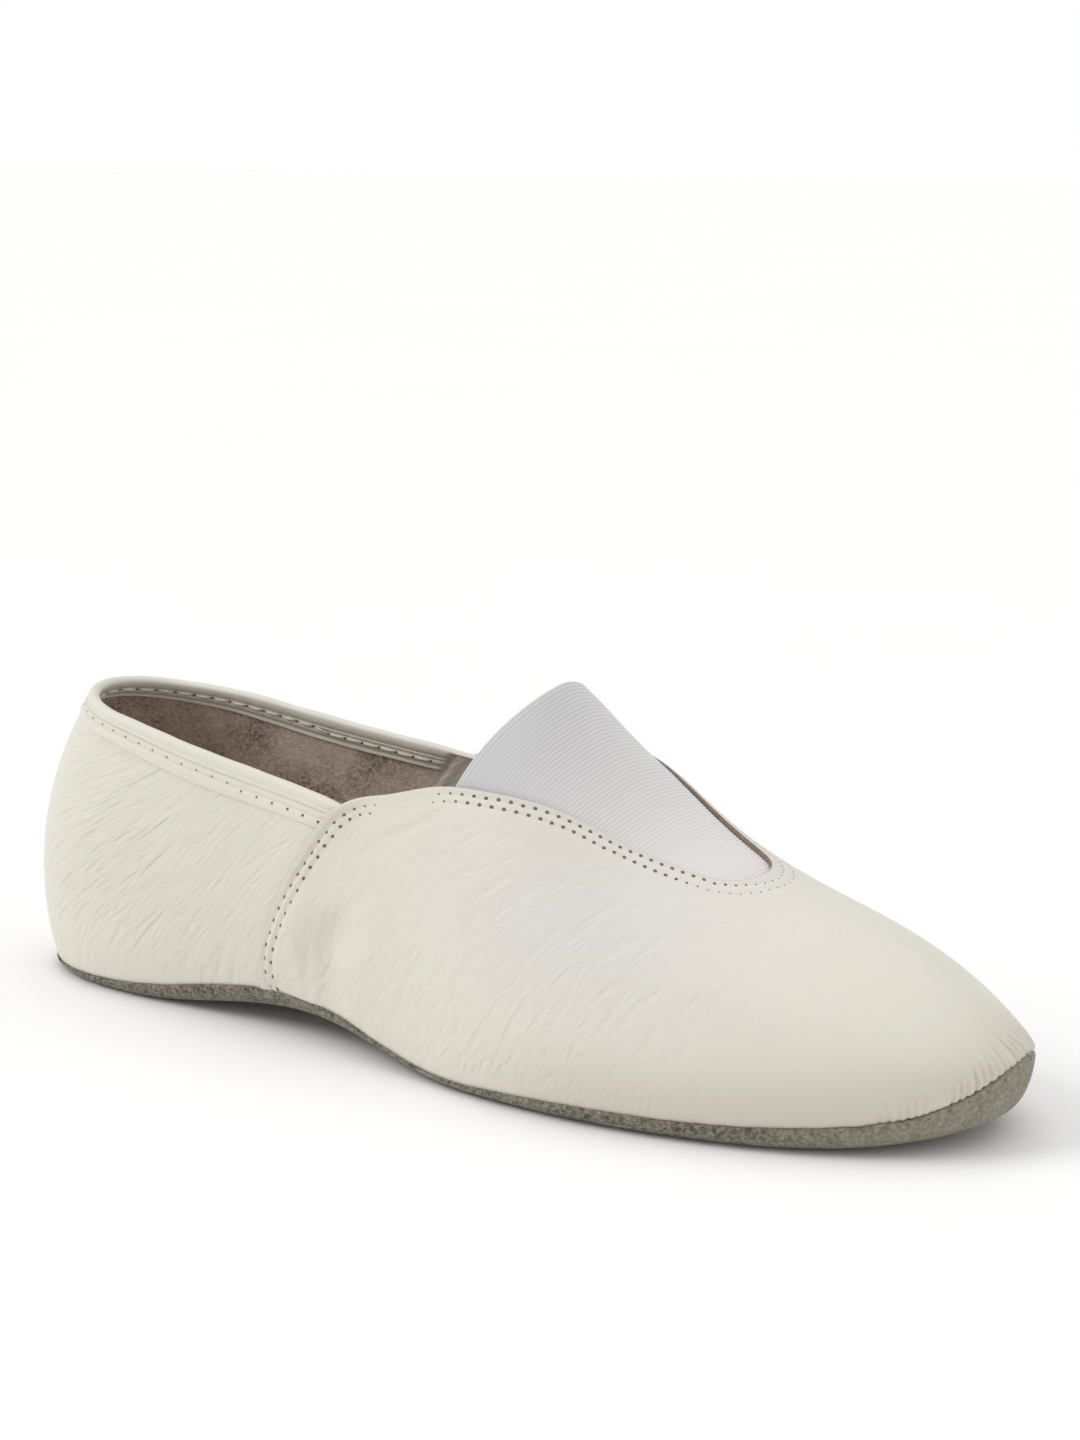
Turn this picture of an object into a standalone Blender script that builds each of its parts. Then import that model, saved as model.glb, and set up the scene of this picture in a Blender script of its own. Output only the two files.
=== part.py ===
"""Slip-on gymnastics slipper of soft leather on a thin suede sole.

The slipper is straight-lasted, so one shape fits either foot. Units are metres, +Z is up and +X
runs from heel to toe. It stands empty on two flat spots, under its heel and its forefoot.

Every section of the last starts on the feather line, where upper and sole meet, and climbs to the
ridge above the middle of the foot. So a place on the last is given by two angles: its turn, 0 at
the back of the heel and pi at the tip of the toe, and its climb, 0 on the feather line and a
quarter turn on the ridge. The side is -1 or +1, for -Y or +Y.
"""

import math
from typing import NamedTuple

import bmesh
import bpy
import numpy as np

# Driving sizes of the last
LAST_LENGTH = 0.246     # heel to toe, along the feather line
BALL_WIDTH = 0.0788     # across the feather line at the ball
INSTEP_HEIGHT = 0.1007  # top of the last's cone, above the floor
HEEL_HEIGHT = 0.0690    # finished collar edge at the back of the heel, above the floor

# Where the ridge starts and ends
RIDGE_HEEL = 0.0544
RIDGE_TOE = 0.2186

# Sole, bent along its length like the sheet that it is cut from
SOLE_THICKNESS = 0.0016
SOLE_PROUD = 0.0006     # how far the sole's edge stands outside the feather line
SOLE_ROUND = 0.0050     # how far the rounded edge reaches in under the foot
HEEL_ROLL = 0.0008
HEEL_ROLL_END = 0.05
ARCH_LIFT = 0.0052
ARCH_START = 0.14
ARCH_END = 0.56
TOE_SPRING = 0.0065
TOE_SPRING_START = 0.76
SOLE_SPINE_HEEL = 0.025
SOLE_SPINE_TOE = 0.221

# Sheet goods
GAP = 0.0003            # between pieces that lie against each other
LEATHER = 0.0012
VAMP_STEP = 0.0011      # how far the vamp's cut edge stands above the quarter
VAMP_FADE = 0.013       # length over which the vamp sinks to the last
INSOLE_THICKNESS = 0.0015
INSOLE_INSET = 0.0032
ELASTIC_THICKNESS = 0.0011
ELASTIC_GAP = 0.00045
ELASTIC_TOP = 0.1391    # free top edge on the ridge, from the heel
ELASTIC_BOW = 15.0      # how fast that edge runs back to the sides, per metre of width
ELASTIC_TIP = 0.1960    # sewn end under the vamp
ELASTIC_UNDERLAP = math.radians(11)
BINDING_THICKNESS = 0.0008

# Side seam, from the feather line up to the corner where collar and vamp meet
SEAM_FOOT = 0.304
SEAM_TOP = 0.390
SEAM_CURVE = 1.35
SEAM_LEAN_END = 0.80    # station where the columns stand upright again
VAMP_CORNER = 0.0015    # length over which the vamp's edge climbs to its own line

# Throat, with a blunt rounded end towards the toe
THROAT_TIP = 0.1876     # end of the throat on the ridge, from the heel
THROAT_ROUND = 0.0090   # length over which the end rounds off
THROAT_BLUNT = 3

# Mesh density
UPPER_ROWS = 13
QUARTER_COLUMNS = 15
VAMP_COLUMNS = 11
THROAT_ROUND_COLUMNS = 7
TOE_COLUMNS = 10
ELASTIC_COLUMNS = 13
ELASTIC_ACROSS = 15
SOLE_ROUND_ROWS = 5
SOLE_INNER_ROWS = 3

RIDGE = math.pi / 2
BELLY_SHAPE = 2.6       # makes the belly column the true overhang, within a few per cent
NUDGE = 0.01            # angle of the small moves that give a surface direction
WELD = 1e-7
SHARP_ANGLE = math.radians(35)


class Section(NamedTuple):
    """One section of the last."""

    station: float      # share of the last's length, from the heel
    half_width: float   # share of the ball width
    rim: float          # feather line above the underside of the sole
    belly: float        # how far the leather hangs out over the sole
    taper: float        # above 1 the section draws in early
    rise: float         # above 1 the section starts out flatter


class TopPoint(NamedTuple):
    """One point of the last's ridge."""

    station: float
    height: float       # share of the instep height


class CollarPoint(NamedTuple):
    """One point of the finished collar edge."""

    station: float
    height: float       # share of the heel height


class ThroatPoint(NamedTuple):
    """One point of the throat's edge."""

    station: float
    opening: float      # degrees between the edge and the ridge


class BindingPoint(NamedTuple):
    """One point of the binding's leg, outside and inside alike."""

    drop: float         # below the leather's edge
    proud: float        # off the leather


class Wall(NamedTuple):
    """One column of a piece, with its rows of points from the feather line up."""

    turn: float
    outer: np.ndarray
    inner: np.ndarray


LAST = (
    Section(0.00, 0.000, 0.0018, 0.0064, 0.87, 1.12),
    Section(0.04, 0.212, 0.0019, 0.0079, 0.89, 1.20),
    Section(0.12, 0.293, 0.0027, 0.0070, 0.93, 1.15),
    Section(0.25, 0.310, 0.0045, 0.0052, 0.98, 1.04),
    Section(0.38, 0.348, 0.0034, 0.0038, 1.04, 1.01),
    Section(0.50, 0.438, 0.0016, 0.0032, 1.06, 1.00),
    Section(0.62, 0.500, 0.0031, 0.0034, 1.05, 1.00),
    Section(0.74, 0.484, 0.0040, 0.0037, 1.03, 1.00),
    Section(0.86, 0.393, 0.0050, 0.0039, 1.01, 1.00),
    Section(0.95, 0.249, 0.0063, 0.0031, 0.90, 1.00),
    Section(1.00, 0.000, 0.0113, 0.0002, 0.88, 1.00),
)

TOP_LINE = (
    TopPoint(0.000, 0.879),
    TopPoint(0.203, 0.954),
    TopPoint(0.346, 1.000),
    TopPoint(0.467, 0.947),
    TopPoint(0.569, 0.814),
    TopPoint(0.671, 0.593),
    TopPoint(0.772, 0.460),
    TopPoint(0.862, 0.390),
    TopPoint(0.943, 0.303),
    TopPoint(1.000, 0.220),
)

COLLAR = (
    CollarPoint(0.000, 1.000),
    CollarPoint(0.050, 0.974),
    CollarPoint(0.120, 0.948),
    CollarPoint(0.190, 0.914),
    CollarPoint(0.270, 0.874),
    CollarPoint(0.350, 0.836),
    CollarPoint(0.395, 0.811),
)

THROAT = (
    ThroatPoint(0.390, 60.2),
    ThroatPoint(0.405, 57.6),
    ThroatPoint(0.443, 53.5),
    ThroatPoint(0.493, 47.4),
    ThroatPoint(0.553, 41.0),
    ThroatPoint(0.613, 32.7),
    ThroatPoint(0.683, 24.7),
    ThroatPoint(0.743, 18.7),
    ThroatPoint(0.813, 12.6),
)

BINDING_LEG = (
    BindingPoint(0.0076, 0.0008),
    BindingPoint(0.0041, 0.0008),
    BindingPoint(0.0027, 0.0010),
    BindingPoint(0.0006, 0.0011),
)


def girth(station):
    """Turn of the feather line at a share of the last's length."""
    return np.arccos(1 - 2 * np.asarray(station, float))


def station_of(turn):
    """Share of the last's length at a turn of the feather line."""
    return (1 - np.cos(turn)) / 2


def column_of(rows, name):
    """One named column of a table."""
    return np.array([getattr(row, name) for row in rows])


def spline(knots, values, flat_ends=False):
    """Cubic curve through the values. Flat ends have no slope, free ends have no bend."""
    knots = np.asarray(knots, float)
    values = np.asarray(values, float)
    steps = np.diff(knots)
    slopes = np.diff(values) / steps
    last = len(knots) - 1
    system = np.eye(last + 1)
    target = np.zeros(last + 1)
    for i in range(1, last):
        system[i, i - 1:i + 2] = steps[i - 1], 2 * (steps[i - 1] + steps[i]), steps[i]
        target[i] = 6 * (slopes[i] - slopes[i - 1])
    if flat_ends:
        system[0, :2] = 2 * steps[0], steps[0]
        target[0] = 6 * slopes[0]
        system[last, last - 1:] = steps[-1], 2 * steps[-1]
        target[last] = -6 * slopes[-1]
    bends = np.linalg.solve(system, target)

    def value(place):
        i = np.clip(np.searchsorted(knots, place, side="right") - 1, 0, last - 1)
        after = (place - knots[i]) / steps[i]
        before = 1 - after
        bow = (before ** 3 - before) * bends[i] + (after ** 3 - after) * bends[i + 1]
        return before * values[i] + after * values[i + 1] + bow * steps[i] ** 2 / 6

    return value


def crossing(holds, low, high):
    """Value between low and high where a test that holds at low stops holding."""
    while high - low > WELD:
        middle = (low + high) / 2
        if holds(middle):
            low = middle
        else:
            high = middle
    return low


def sole_lift(station):
    """Height of the sole's underside above the floor."""
    roll = np.clip(1 - station / HEEL_ROLL_END, 0, 1) ** 2
    arch = np.clip((station - ARCH_START) / (ARCH_END - ARCH_START), 0, 1)
    toe = np.clip((station - TOE_SPRING_START) / (1 - TOE_SPRING_START), 0, None) ** 3
    return HEEL_ROLL * roll + ARCH_LIFT * np.sin(math.pi * arch) ** 2 + TOE_SPRING * toe


class Last:
    """Form that the slipper is made on, worked out from its driving sizes and its sections."""

    def __init__(self):
        turns = girth(column_of(LAST, "station"))
        self.half_width = spline(turns, column_of(LAST, "half_width") * BALL_WIDTH)
        self.rim = spline(turns, column_of(LAST, "rim"), flat_ends=True)
        self.belly = spline(turns, column_of(LAST, "belly"), flat_ends=True)
        self.taper = spline(turns, column_of(LAST, "taper"), flat_ends=True)
        self.rise = spline(turns, column_of(LAST, "rise"), flat_ends=True)
        self.top = spline(column_of(TOP_LINE, "station") * LAST_LENGTH,
                          column_of(TOP_LINE, "height") * INSTEP_HEIGHT)

    def feather(self, turn, side):
        """Point of the feather line."""
        station = station_of(turn)
        height = sole_lift(station) + self.rim(turn)
        return np.stack([LAST_LENGTH * station, side * self.half_width(turn), height], -1)

    def at(self, turn, climb, side):
        """Point of the last's surface."""
        foot = self.feather(turn, side)
        ridge = RIDGE_HEEL + (RIDGE_TOE - RIDGE_HEEL) * station_of(turn)
        reach_x, reach_y = foot[..., 0] - ridge, foot[..., 1]
        cosine = np.clip(np.cos(climb), 0, 1)
        sine = np.clip(np.sin(climb), 0, 1)
        belly = self.belly(turn) * BELLY_SHAPE * sine * cosine ** 2
        share = cosine ** self.taper(turn) + belly / np.hypot(reach_x, reach_y)
        x = ridge + reach_x * share
        z = foot[..., 2] + (self.top(x) - foot[..., 2]) * sine ** self.rise(turn)
        return np.stack([x, reach_y * share, z], -1)

    def normal(self, turn, climb, side):
        """Outward direction of the last's surface."""
        climb = np.asarray(climb, float)
        along = self.at(turn + NUDGE, climb, side) - self.at(turn - NUDGE, climb, side)
        higher = self.at(turn, np.clip(climb + NUDGE, 0, RIDGE), side)
        lower = self.at(turn, np.clip(climb - NUDGE, 0, RIDGE), side)
        out = np.cross(along, higher - lower) * -side
        out[..., 1] = np.where(climb > RIDGE - WELD, 0, out[..., 1])
        return out / np.linalg.norm(out, axis=-1, keepdims=True)

    def skin(self, turn, climb, side, depth):
        """Point at a depth inside the last's surface, or above it where the depth is negative."""
        return self.at(turn, climb, side) - depth * self.normal(turn, climb, side)


class Pattern:
    """Edges of the leather on the last: collar, throat and side seam."""

    def __init__(self, last):
        self.last = last
        self.collar = spline(column_of(COLLAR, "station"), column_of(COLLAR, "height") * HEEL_HEIGHT)
        self.throat = spline(column_of(THROAT, "station"), np.radians(column_of(THROAT, "opening")))
        self.seam_turn = float(girth(SEAM_TOP))
        self.throat_turn = float(girth((THROAT_TIP - RIDGE_HEEL) / (RIDGE_TOE - RIDGE_HEEL)))

    def collar_climb(self, turn):
        """Climb of the quarter's cut edge, which the binding covers."""
        height = self.collar(station_of(turn)) - GAP - BINDING_THICKNESS
        return crossing(lambda climb: self.last.at(turn, climb, -1)[2] < height, 0.0, RIDGE)

    def throat_climb(self, turn):
        """Climb of the vamp's edge, which closes on the ridge at the rounded end of the throat."""
        side_climb = RIDGE - float(self.throat(station_of(turn)))
        side_width = abs(self.last.at(turn, side_climb, -1)[1])

        def outside(climb):
            x, y, _ = self.last.at(turn, climb, -1)
            into_end = min(1.0, max(0.0, 1 - (THROAT_TIP - x) / THROAT_ROUND))
            return abs(y) > side_width * math.sqrt(1 - into_end ** THROAT_BLUNT)

        return crossing(outside, side_climb, RIDGE)

    def edge_climb(self, turn):
        """Climb of the upper's edge, the ridge itself where the toe is closed."""
        if turn <= self.seam_turn:
            return self.collar_climb(turn)
        if turn < self.throat_turn:
            return self.throat_climb(turn)
        return RIDGE

    def lean(self, turn):
        """Share of the side seam's lean that a column has, 1 on the seam itself."""
        ahead = turn - self.seam_turn
        span = self.seam_turn if ahead < 0 else float(girth(SEAM_LEAN_END)) - self.seam_turn
        return math.cos(RIDGE * max(-1.0, min(1.0, ahead / span))) ** 2

    def place(self, turn, share):
        """Turn and climb of points on one column, share 0 on the feather line and 1 on the edge."""
        seam = SEAM_FOOT + (SEAM_TOP - SEAM_FOOT) * np.clip(share, 0, None) ** SEAM_CURVE
        return turn + self.lean(turn) * (girth(seam) - self.seam_turn), share * self.edge_climb(turn)

    def quarter_turns(self):
        """Turns of the columns from the back of the heel to the side seam."""
        return list(np.linspace(0, self.seam_turn, QUARTER_COLUMNS))

    def vamp_turns(self):
        """Turns of the columns from the side seam to the tip of the toe."""
        tip = station_of(self.throat_turn)
        round_start = tip - 2 * THROAT_ROUND / LAST_LENGTH
        sides = np.linspace(self.seam_turn, girth(round_start), VAMP_COLUMNS)
        end = round_start + (tip - round_start) * np.sin(np.linspace(0, RIDGE, THROAT_ROUND_COLUMNS))
        toe = np.linspace(self.throat_turn, math.pi, TOE_COLUMNS)
        corner = girth(SEAM_TOP + VAMP_CORNER / LAST_LENGTH)
        return [sides[0], corner, *sides[1:], *girth(end[1:-1]), *toe]

    def feather_turns(self):
        """Turns of all the columns where they stand on the feather line."""
        turns = self.quarter_turns() + self.vamp_turns()[1:]
        return [float(self.place(turn, np.array(0.0))[0]) for turn in turns]


class Skin:
    """Faces gathered on shared corners. A corner that is given twice is one vertex."""

    def __init__(self):
        self.mesh = bmesh.new()
        self.corners = {}

    def corner(self, point):
        """Vertex at a point."""
        key = tuple(int(round(float(value) / WELD)) for value in point)
        if key not in self.corners:
            self.corners[key] = self.mesh.verts.new([float(value) for value in point])
        return self.corners[key]

    def face(self, *points):
        """Face on three or more corners, left out where its corners fall together."""
        corners = list(dict.fromkeys(self.corner(point) for point in points))
        if len(corners) > 2:
            self.mesh.faces.new(corners)

    def strip(self, first, second):
        """Row of faces between two rows of points."""
        for a, b, c, d in zip(first, second, second[1:], first[1:]):
            self.face(a, b, c, d)

    def ring(self, walls):
        """Both faces and the foot of a closed ring of walls."""
        for this, following in zip(walls, walls[1:] + walls[:1]):
            self.strip(this.outer, following.outer)
            self.strip(this.inner, following.inner)
            self.face(this.outer[0], following.outer[0], following.inner[0], this.inner[0])

    def sheet(self, upper, lower):
        """Thin solid between two grids of points of the same size."""
        for grid in (upper, lower):
            for first, second in zip(grid, grid[1:]):
                self.strip(first, second)
        for end in (0, -1):
            self.strip(upper[end], lower[end])
            self.strip([row[end] for row in upper], [row[end] for row in lower])

    def place(self, name, colour, roughness, parent):
        """Object made of the gathered faces, with its own material."""
        bmesh.ops.recalc_face_normals(self.mesh, faces=self.mesh.faces)
        mesh = bpy.data.meshes.new(name)
        self.mesh.to_mesh(mesh)
        self.mesh.free()
        mesh.shade_smooth()
        mesh.set_sharp_from_angle(angle=SHARP_ANGLE)
        mesh.materials.append(finish(name, colour, roughness))
        piece = bpy.data.objects.new(name, mesh)
        piece.parent = parent
        bpy.context.scene.collection.objects.link(piece)
        return piece


def linear(colour):
    """Linear RGBA of an sRGB hex colour."""
    channels = [int(colour[i:i + 2], 16) / 255 for i in (1, 3, 5)]
    return [c / 12.92 if c <= 0.04045 else ((c + 0.055) / 1.055) ** 2.4 for c in channels] + [1.0]


def finish(name, colour, roughness):
    """Plain dielectric material."""
    material = bpy.data.materials.new(name)
    material.use_nodes = True
    shader = material.node_tree.nodes["Principled BSDF"]
    shader.inputs["Base Color"].default_value = linear(colour)
    shader.inputs["Roughness"].default_value = roughness
    shader.inputs["Metallic"].default_value = 0.0
    return material


def around(turns):
    """Turn and side of each column in a ring: along -Y to the toe, and back along +Y."""
    return [(turn, -1) for turn in turns] + [(turn, 1) for turn in turns[-2:0:-1]]


def build_upper(last, pattern):
    """Hollow upper: one wall whose outside steps up where the vamp covers the quarters."""
    shares = np.linspace(0, 1, UPPER_ROWS + 1)

    def wall(turn, side, raised):
        turns, climbs = pattern.place(turn, shares)
        return Wall(turn, last.skin(turns, climbs, side, -raised), last.skin(turns, climbs, side, LEATHER))

    def vamp_height(turn):
        ahead = (station_of(turn) - SEAM_TOP) * LAST_LENGTH / VAMP_FADE
        return VAMP_STEP * math.cos(RIDGE * min(1.0, ahead)) ** 2

    half = [(turn, 0.0) for turn in pattern.quarter_turns()]
    half += [(turn, vamp_height(turn)) for turn in pattern.vamp_turns()]
    walls = [wall(turn, -1, raised) for turn, raised in half]
    walls += [wall(turn, 1, raised) for turn, raised in half[-2:0:-1]]
    skin = Skin()
    skin.ring(walls)
    for this, following in zip(walls, walls[1:] + walls[:1]):
        if min(this.turn, following.turn) < pattern.throat_turn - WELD:
            skin.face(this.outer[-1], following.outer[-1], following.inner[-1], this.inner[-1])
    return skin


def sole_frame(last, turn, side):
    """Feather point, outward direction in plan and spine point of one column of the sole."""
    foot = last.feather(turn, side)
    spine = SOLE_SPINE_HEEL + (SOLE_SPINE_TOE - SOLE_SPINE_HEEL) * station_of(turn)
    outward = np.array([foot[0] - spine, foot[1], 0.0])
    return foot, outward / np.linalg.norm(outward), np.array([spine, 0.0, 0.0])


def dish_point(foot, outward, inset, reach, depth):
    """Point of the sole's dish: a quarter ellipse down from its rim, then the bent sheet."""
    point = foot + outward * (SOLE_PROUD - depth - inset)
    floor = sole_lift(point[0] / LAST_LENGTH) + depth
    across = min(1.0, inset / reach)
    fall = 1 - math.sqrt(1 - (1 - across) ** 2)
    point[2] = floor + (foot[2] - GAP - floor) * fall
    return point


def sheet_rows(edge, spine, depth):
    """Points of the bent sheet from the last edge point in to the spine."""
    rows = []
    for share in np.linspace(0, 1, SOLE_INNER_ROWS + 1)[1:]:
        point = edge + (spine - edge) * share
        point[2] = sole_lift(point[0] / LAST_LENGTH) + depth
        rows.append(point)
    return rows


def build_outsole(last, pattern):
    """Suede sole: a dish that turns up to the feather line all round."""
    insets = 1 - np.cos(np.linspace(0, RIDGE, SOLE_ROUND_ROWS))
    walls = []
    for turn, side in around(pattern.feather_turns()):
        foot, outward, spine = sole_frame(last, turn, side)
        faces = []
        for depth in (0.0, SOLE_THICKNESS):
            reach = SOLE_ROUND - depth
            edge = [dish_point(foot, outward, inset * reach, reach, depth) for inset in insets]
            faces.append(edge + sheet_rows(edge[-1], spine, depth))
        walls.append(Wall(turn, *faces))
    skin = Skin()
    skin.ring(walls)
    return skin


def build_insole(last, pattern):
    """Sock lining that lies in the sole's dish."""
    reach = SOLE_ROUND - SOLE_THICKNESS
    inset = INSOLE_INSET + SOLE_PROUD - SOLE_THICKNESS
    lift = np.array([0.0, 0.0, GAP])
    thickness = np.array([0.0, 0.0, INSOLE_THICKNESS])
    walls = []
    for turn, side in around(pattern.feather_turns()):
        foot, outward, spine = sole_frame(last, turn, side)
        edge = [dish_point(foot, outward, place, reach, SOLE_THICKNESS) for place in (inset, reach)]
        lower = [point + lift for point in edge + sheet_rows(edge[-1], spine, SOLE_THICKNESS)]
        walls.append(Wall(turn, lower, [point + thickness for point in lower]))
    skin = Skin()
    skin.ring(walls)
    return skin


def build_elastic(last, pattern):
    """Elastic panel under the throat's edge, from its free top edge to past the throat's end."""
    last_station = THROAT[-1].station

    def climb(turn, share):
        spread = float(pattern.throat(min(station_of(turn), last_station))) + ELASTIC_UNDERLAP
        return RIDGE - abs(share) * spread

    def behind(turn, share, x_ridge, bow):
        x, y, _ = last.at(turn, climb(turn, share), -1)
        return x < x_ridge - bow * y ** 2

    ends = (pattern.seam_turn, math.pi)
    rows = []
    for share in np.linspace(-1, 1, ELASTIC_ACROSS):
        top = crossing(lambda turn: behind(turn, share, ELASTIC_TOP, ELASTIC_BOW), *ends)
        tip = crossing(lambda turn: behind(turn, share, ELASTIC_TIP, 0.0), *ends)
        rows.append([(turn, climb(turn, share), math.copysign(1, share))
                     for turn in np.linspace(top, tip, ELASTIC_COLUMNS)])
    depth = LEATHER + ELASTIC_GAP
    skin = Skin()
    skin.sheet([[last.skin(*place, depth) for place in row] for row in rows],
               [[last.skin(*place, depth + ELASTIC_THICKNESS) for place in row] for row in rows])
    return skin


def build_binding(last, pattern):
    """Leather strip folded over the collar edge, with a rolled top, from seam to seam."""
    half_wall = LEATHER / 2
    proud_top = BINDING_LEG[-1].proud

    def section(turn, side):
        edge_climb = pattern.edge_climb(turn)
        height = np.linalg.norm(last.at(turn, edge_climb, side) - last.at(turn, 0.0, side))

        def point(drop, out):
            where = pattern.place(turn, np.array(1 - drop / height))
            return last.skin(*where, side, -out)

        edge = point(0.0, -half_wall)
        up = edge - point(half_wall, -half_wall)
        up /= np.linalg.norm(up)
        out = last.normal(turn, edge_climb, side)

        def roll(angle, half_breadth, rise):
            return edge + out * half_breadth * math.cos(angle) + up * rise * math.sin(angle)

        over = [math.pi / 4, math.pi / 2, 3 * math.pi / 4]
        outside = [point(row.drop, row.proud) for row in BINDING_LEG]
        outside += [roll(angle, half_wall + proud_top, GAP + BINDING_THICKNESS) for angle in over]
        outside += [point(row.drop, -LEATHER - row.proud) for row in reversed(BINDING_LEG)]
        inside = [point(row.drop, GAP) for row in BINDING_LEG]
        inside += [roll(angle, half_wall + GAP, GAP) for angle in over]
        inside += [point(row.drop, -LEATHER - GAP) for row in reversed(BINDING_LEG)]
        return outside, inside

    turns = pattern.quarter_turns()
    turns[-1] -= 2 * GAP / (LAST_LENGTH / 2 * math.sin(turns[-1]))
    columns = [section(turn, -1) for turn in reversed(turns)]
    columns += [section(turn, 1) for turn in turns[1:]]
    skin = Skin()
    skin.sheet([outside for outside, _ in columns], [inside for _, inside in columns])
    return skin


def main():
    """Build the slipper and stand it over the origin."""
    for thing in list(bpy.data.objects):
        bpy.data.objects.remove(thing)
    last = Last()
    pattern = Pattern(last)
    root = bpy.data.objects.new("slipper", None)
    bpy.context.scene.collection.objects.link(root)
    pieces = [
        build_upper(last, pattern).place("upper", "#E2DFD5", 0.5, root),
        build_outsole(last, pattern).place("outsole", "#7D776C", 0.95, root),
        build_insole(last, pattern).place("insole", "#8C7B6E", 0.9, root),
        build_elastic(last, pattern).place("elastic_gusset", "#DDDADB", 0.8, root),
        build_binding(last, pattern).place("collar_binding", "#E0DDD2", 0.5, root),
    ]
    reach = [vertex.co.x for piece in pieces for vertex in piece.data.vertices]
    root.location.x = -(min(reach) + max(reach)) / 2
    bpy.context.view_layer.update()


main()
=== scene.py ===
"""Looks of a slip-on gymnastics slipper: soft cream leather on a thin suede sole.

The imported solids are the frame. Every sheet here is cut flat as a fine blank, is given its thickness
and is then pulled over the last that the solids were made on, so it lies where its node lies. Grooves
along the seams, creases and toe pleats are worked into the leather, and thread and needle holes are
laid on it. Units are metres in the frame's own axes: +X to the toe, +Z up, -Y towards the camera.
"""

import logging
import math
from dataclasses import dataclass, field
from enum import Enum, IntEnum
from typing import Callable, NamedTuple, Optional, Sequence

import bmesh
import bpy
import numpy as np
from mathutils import Matrix, Vector, noise
from mathutils.bvhtree import BVHTree


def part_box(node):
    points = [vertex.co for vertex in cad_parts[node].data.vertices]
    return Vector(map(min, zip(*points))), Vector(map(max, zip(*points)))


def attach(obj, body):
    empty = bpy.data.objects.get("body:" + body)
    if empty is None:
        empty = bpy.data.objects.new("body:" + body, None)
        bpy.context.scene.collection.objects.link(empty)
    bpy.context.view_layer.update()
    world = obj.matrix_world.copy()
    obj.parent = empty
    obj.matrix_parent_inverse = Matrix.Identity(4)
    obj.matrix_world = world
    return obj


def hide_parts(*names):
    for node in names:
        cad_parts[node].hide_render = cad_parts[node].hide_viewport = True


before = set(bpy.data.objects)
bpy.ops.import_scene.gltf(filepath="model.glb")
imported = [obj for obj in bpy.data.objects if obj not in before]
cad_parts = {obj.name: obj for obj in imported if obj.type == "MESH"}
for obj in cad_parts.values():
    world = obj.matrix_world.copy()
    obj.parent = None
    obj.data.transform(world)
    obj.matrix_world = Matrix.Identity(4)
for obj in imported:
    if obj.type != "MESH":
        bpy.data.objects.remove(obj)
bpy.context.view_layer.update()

LOG = logging.getLogger("slipper")
Array = np.ndarray
Profile = Callable[[Array], Array]
MM = 0.001
RIDGE = math.pi / 2     # climb of the last's ridge
TINY = 1e-7
CREASE_POINTS = 24      # points of the smooth line along a crease
FINE_STEPS = 3000       # steps in which a line is measured before it is divided
ROUGH_POINTS = 40       # points by which a column is measured
BY, FROM, TO, MIXED = 0, 6, 7, 2    # sockets of a colour mix, by number because their names repeat


class Side(Enum):
    """Half of the slipper, with the sign that Y has there."""

    NEAR = -1.0
    FAR = 1.0


class Face(IntEnum):
    """Face of a sheet, in the order of its materials."""

    GRAIN = 0
    FLESH = 1
    CUT = 2


class Section(NamedTuple):
    """One section of the last."""

    station: float      # share of the last's length, from the heel
    half_width: float   # share of the ball width
    rim: float          # feather line above the underside of the sole
    belly: float        # how far the leather hangs out over the sole
    taper: float        # above 1 the section draws in early
    rise: float         # above 1 the section starts out flatter


class Height(NamedTuple):
    """One point of a line along the slipper, as a share of that line's full height."""

    station: float
    height: float


class Opening(NamedTuple):
    """One point of the throat's edge, in degrees from the ridge."""

    station: float
    degrees: float


class LegPoint(NamedTuple):
    """One point of the binding's leg, outside and inside alike."""

    drop: float         # below the leather's edge
    proud: float        # off the leather


class Span(NamedTuple):
    """Two values: where something starts to come in and where it is all in, or what it goes from and to."""

    start: float
    end: float

    def of(self, value: Array) -> Array:
        """Share that has come in at a value, from 0 to 1."""
        return ramp(value, self.start, self.end)

    def at(self, share: Array) -> Array:
        """Value at a share of the way from start to end."""
        return self.start + (self.end - self.start) * share


class Swell(NamedTuple):
    """Soft line of relief."""

    height: float       # how far it stands out, or how deep it lies
    width: float


class Patch(NamedTuple):
    """Soft patch along one axis."""

    place: float
    width: float

    def of(self, value: Array) -> Array:
        """How much of the patch there is at a value, from 0 to 1."""
        return bell(value - self.place, self.width)


class Pleats(NamedTuple):
    """Fine pleats where the leather is drawn in round the toe; spans are the least and the most of a draw."""

    reach: float = 38 * MM                      # to either side of the tip, along the feather line
    length: Span = Span(7 * MM, 12 * MM)
    width: Span = Span(0.42 * MM, 0.66 * MM)
    lean: Span = Span(-0.10, 0.10)
    bend: Span = Span(-12.0, 12.0)
    depth: Span = Span(0.34 * MM, 0.64 * MM)
    gap: Span = Span(1.4 * MM, 2.4 * MM)
    length_share: Span = Span(0.6, 1.1)         # at the ends of the reach and at the tip
    depth_share: Span = Span(0.25, 1.0)
    fan: float = 6.0                            # lean gained for each metre from the tip
    top: float = 0.35                           # share of the length over which a pleat is at its full depth
    foot: Span = Span(0.0, 1.6 * MM)            # height over which it comes in above the feather line
    foot_share: Span = Span(0.55, 1.0)
    shoulder: Swell = Swell(0.45, 1.7)          # height and distance of its shoulders, in depths and widths
    seed: int = 11


class LipPoint(NamedTuple):
    """One row that rounds off the rim of the sole."""

    inset: float        # in from the rim
    drop: float         # below its top


class RowFade(NamedTuple):
    """Where the holes of one of the vamp's rows grow faint towards the apex of the throat."""

    row: str
    run: Span           # along the edge past the corner of collar and throat
    loss: float


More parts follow.
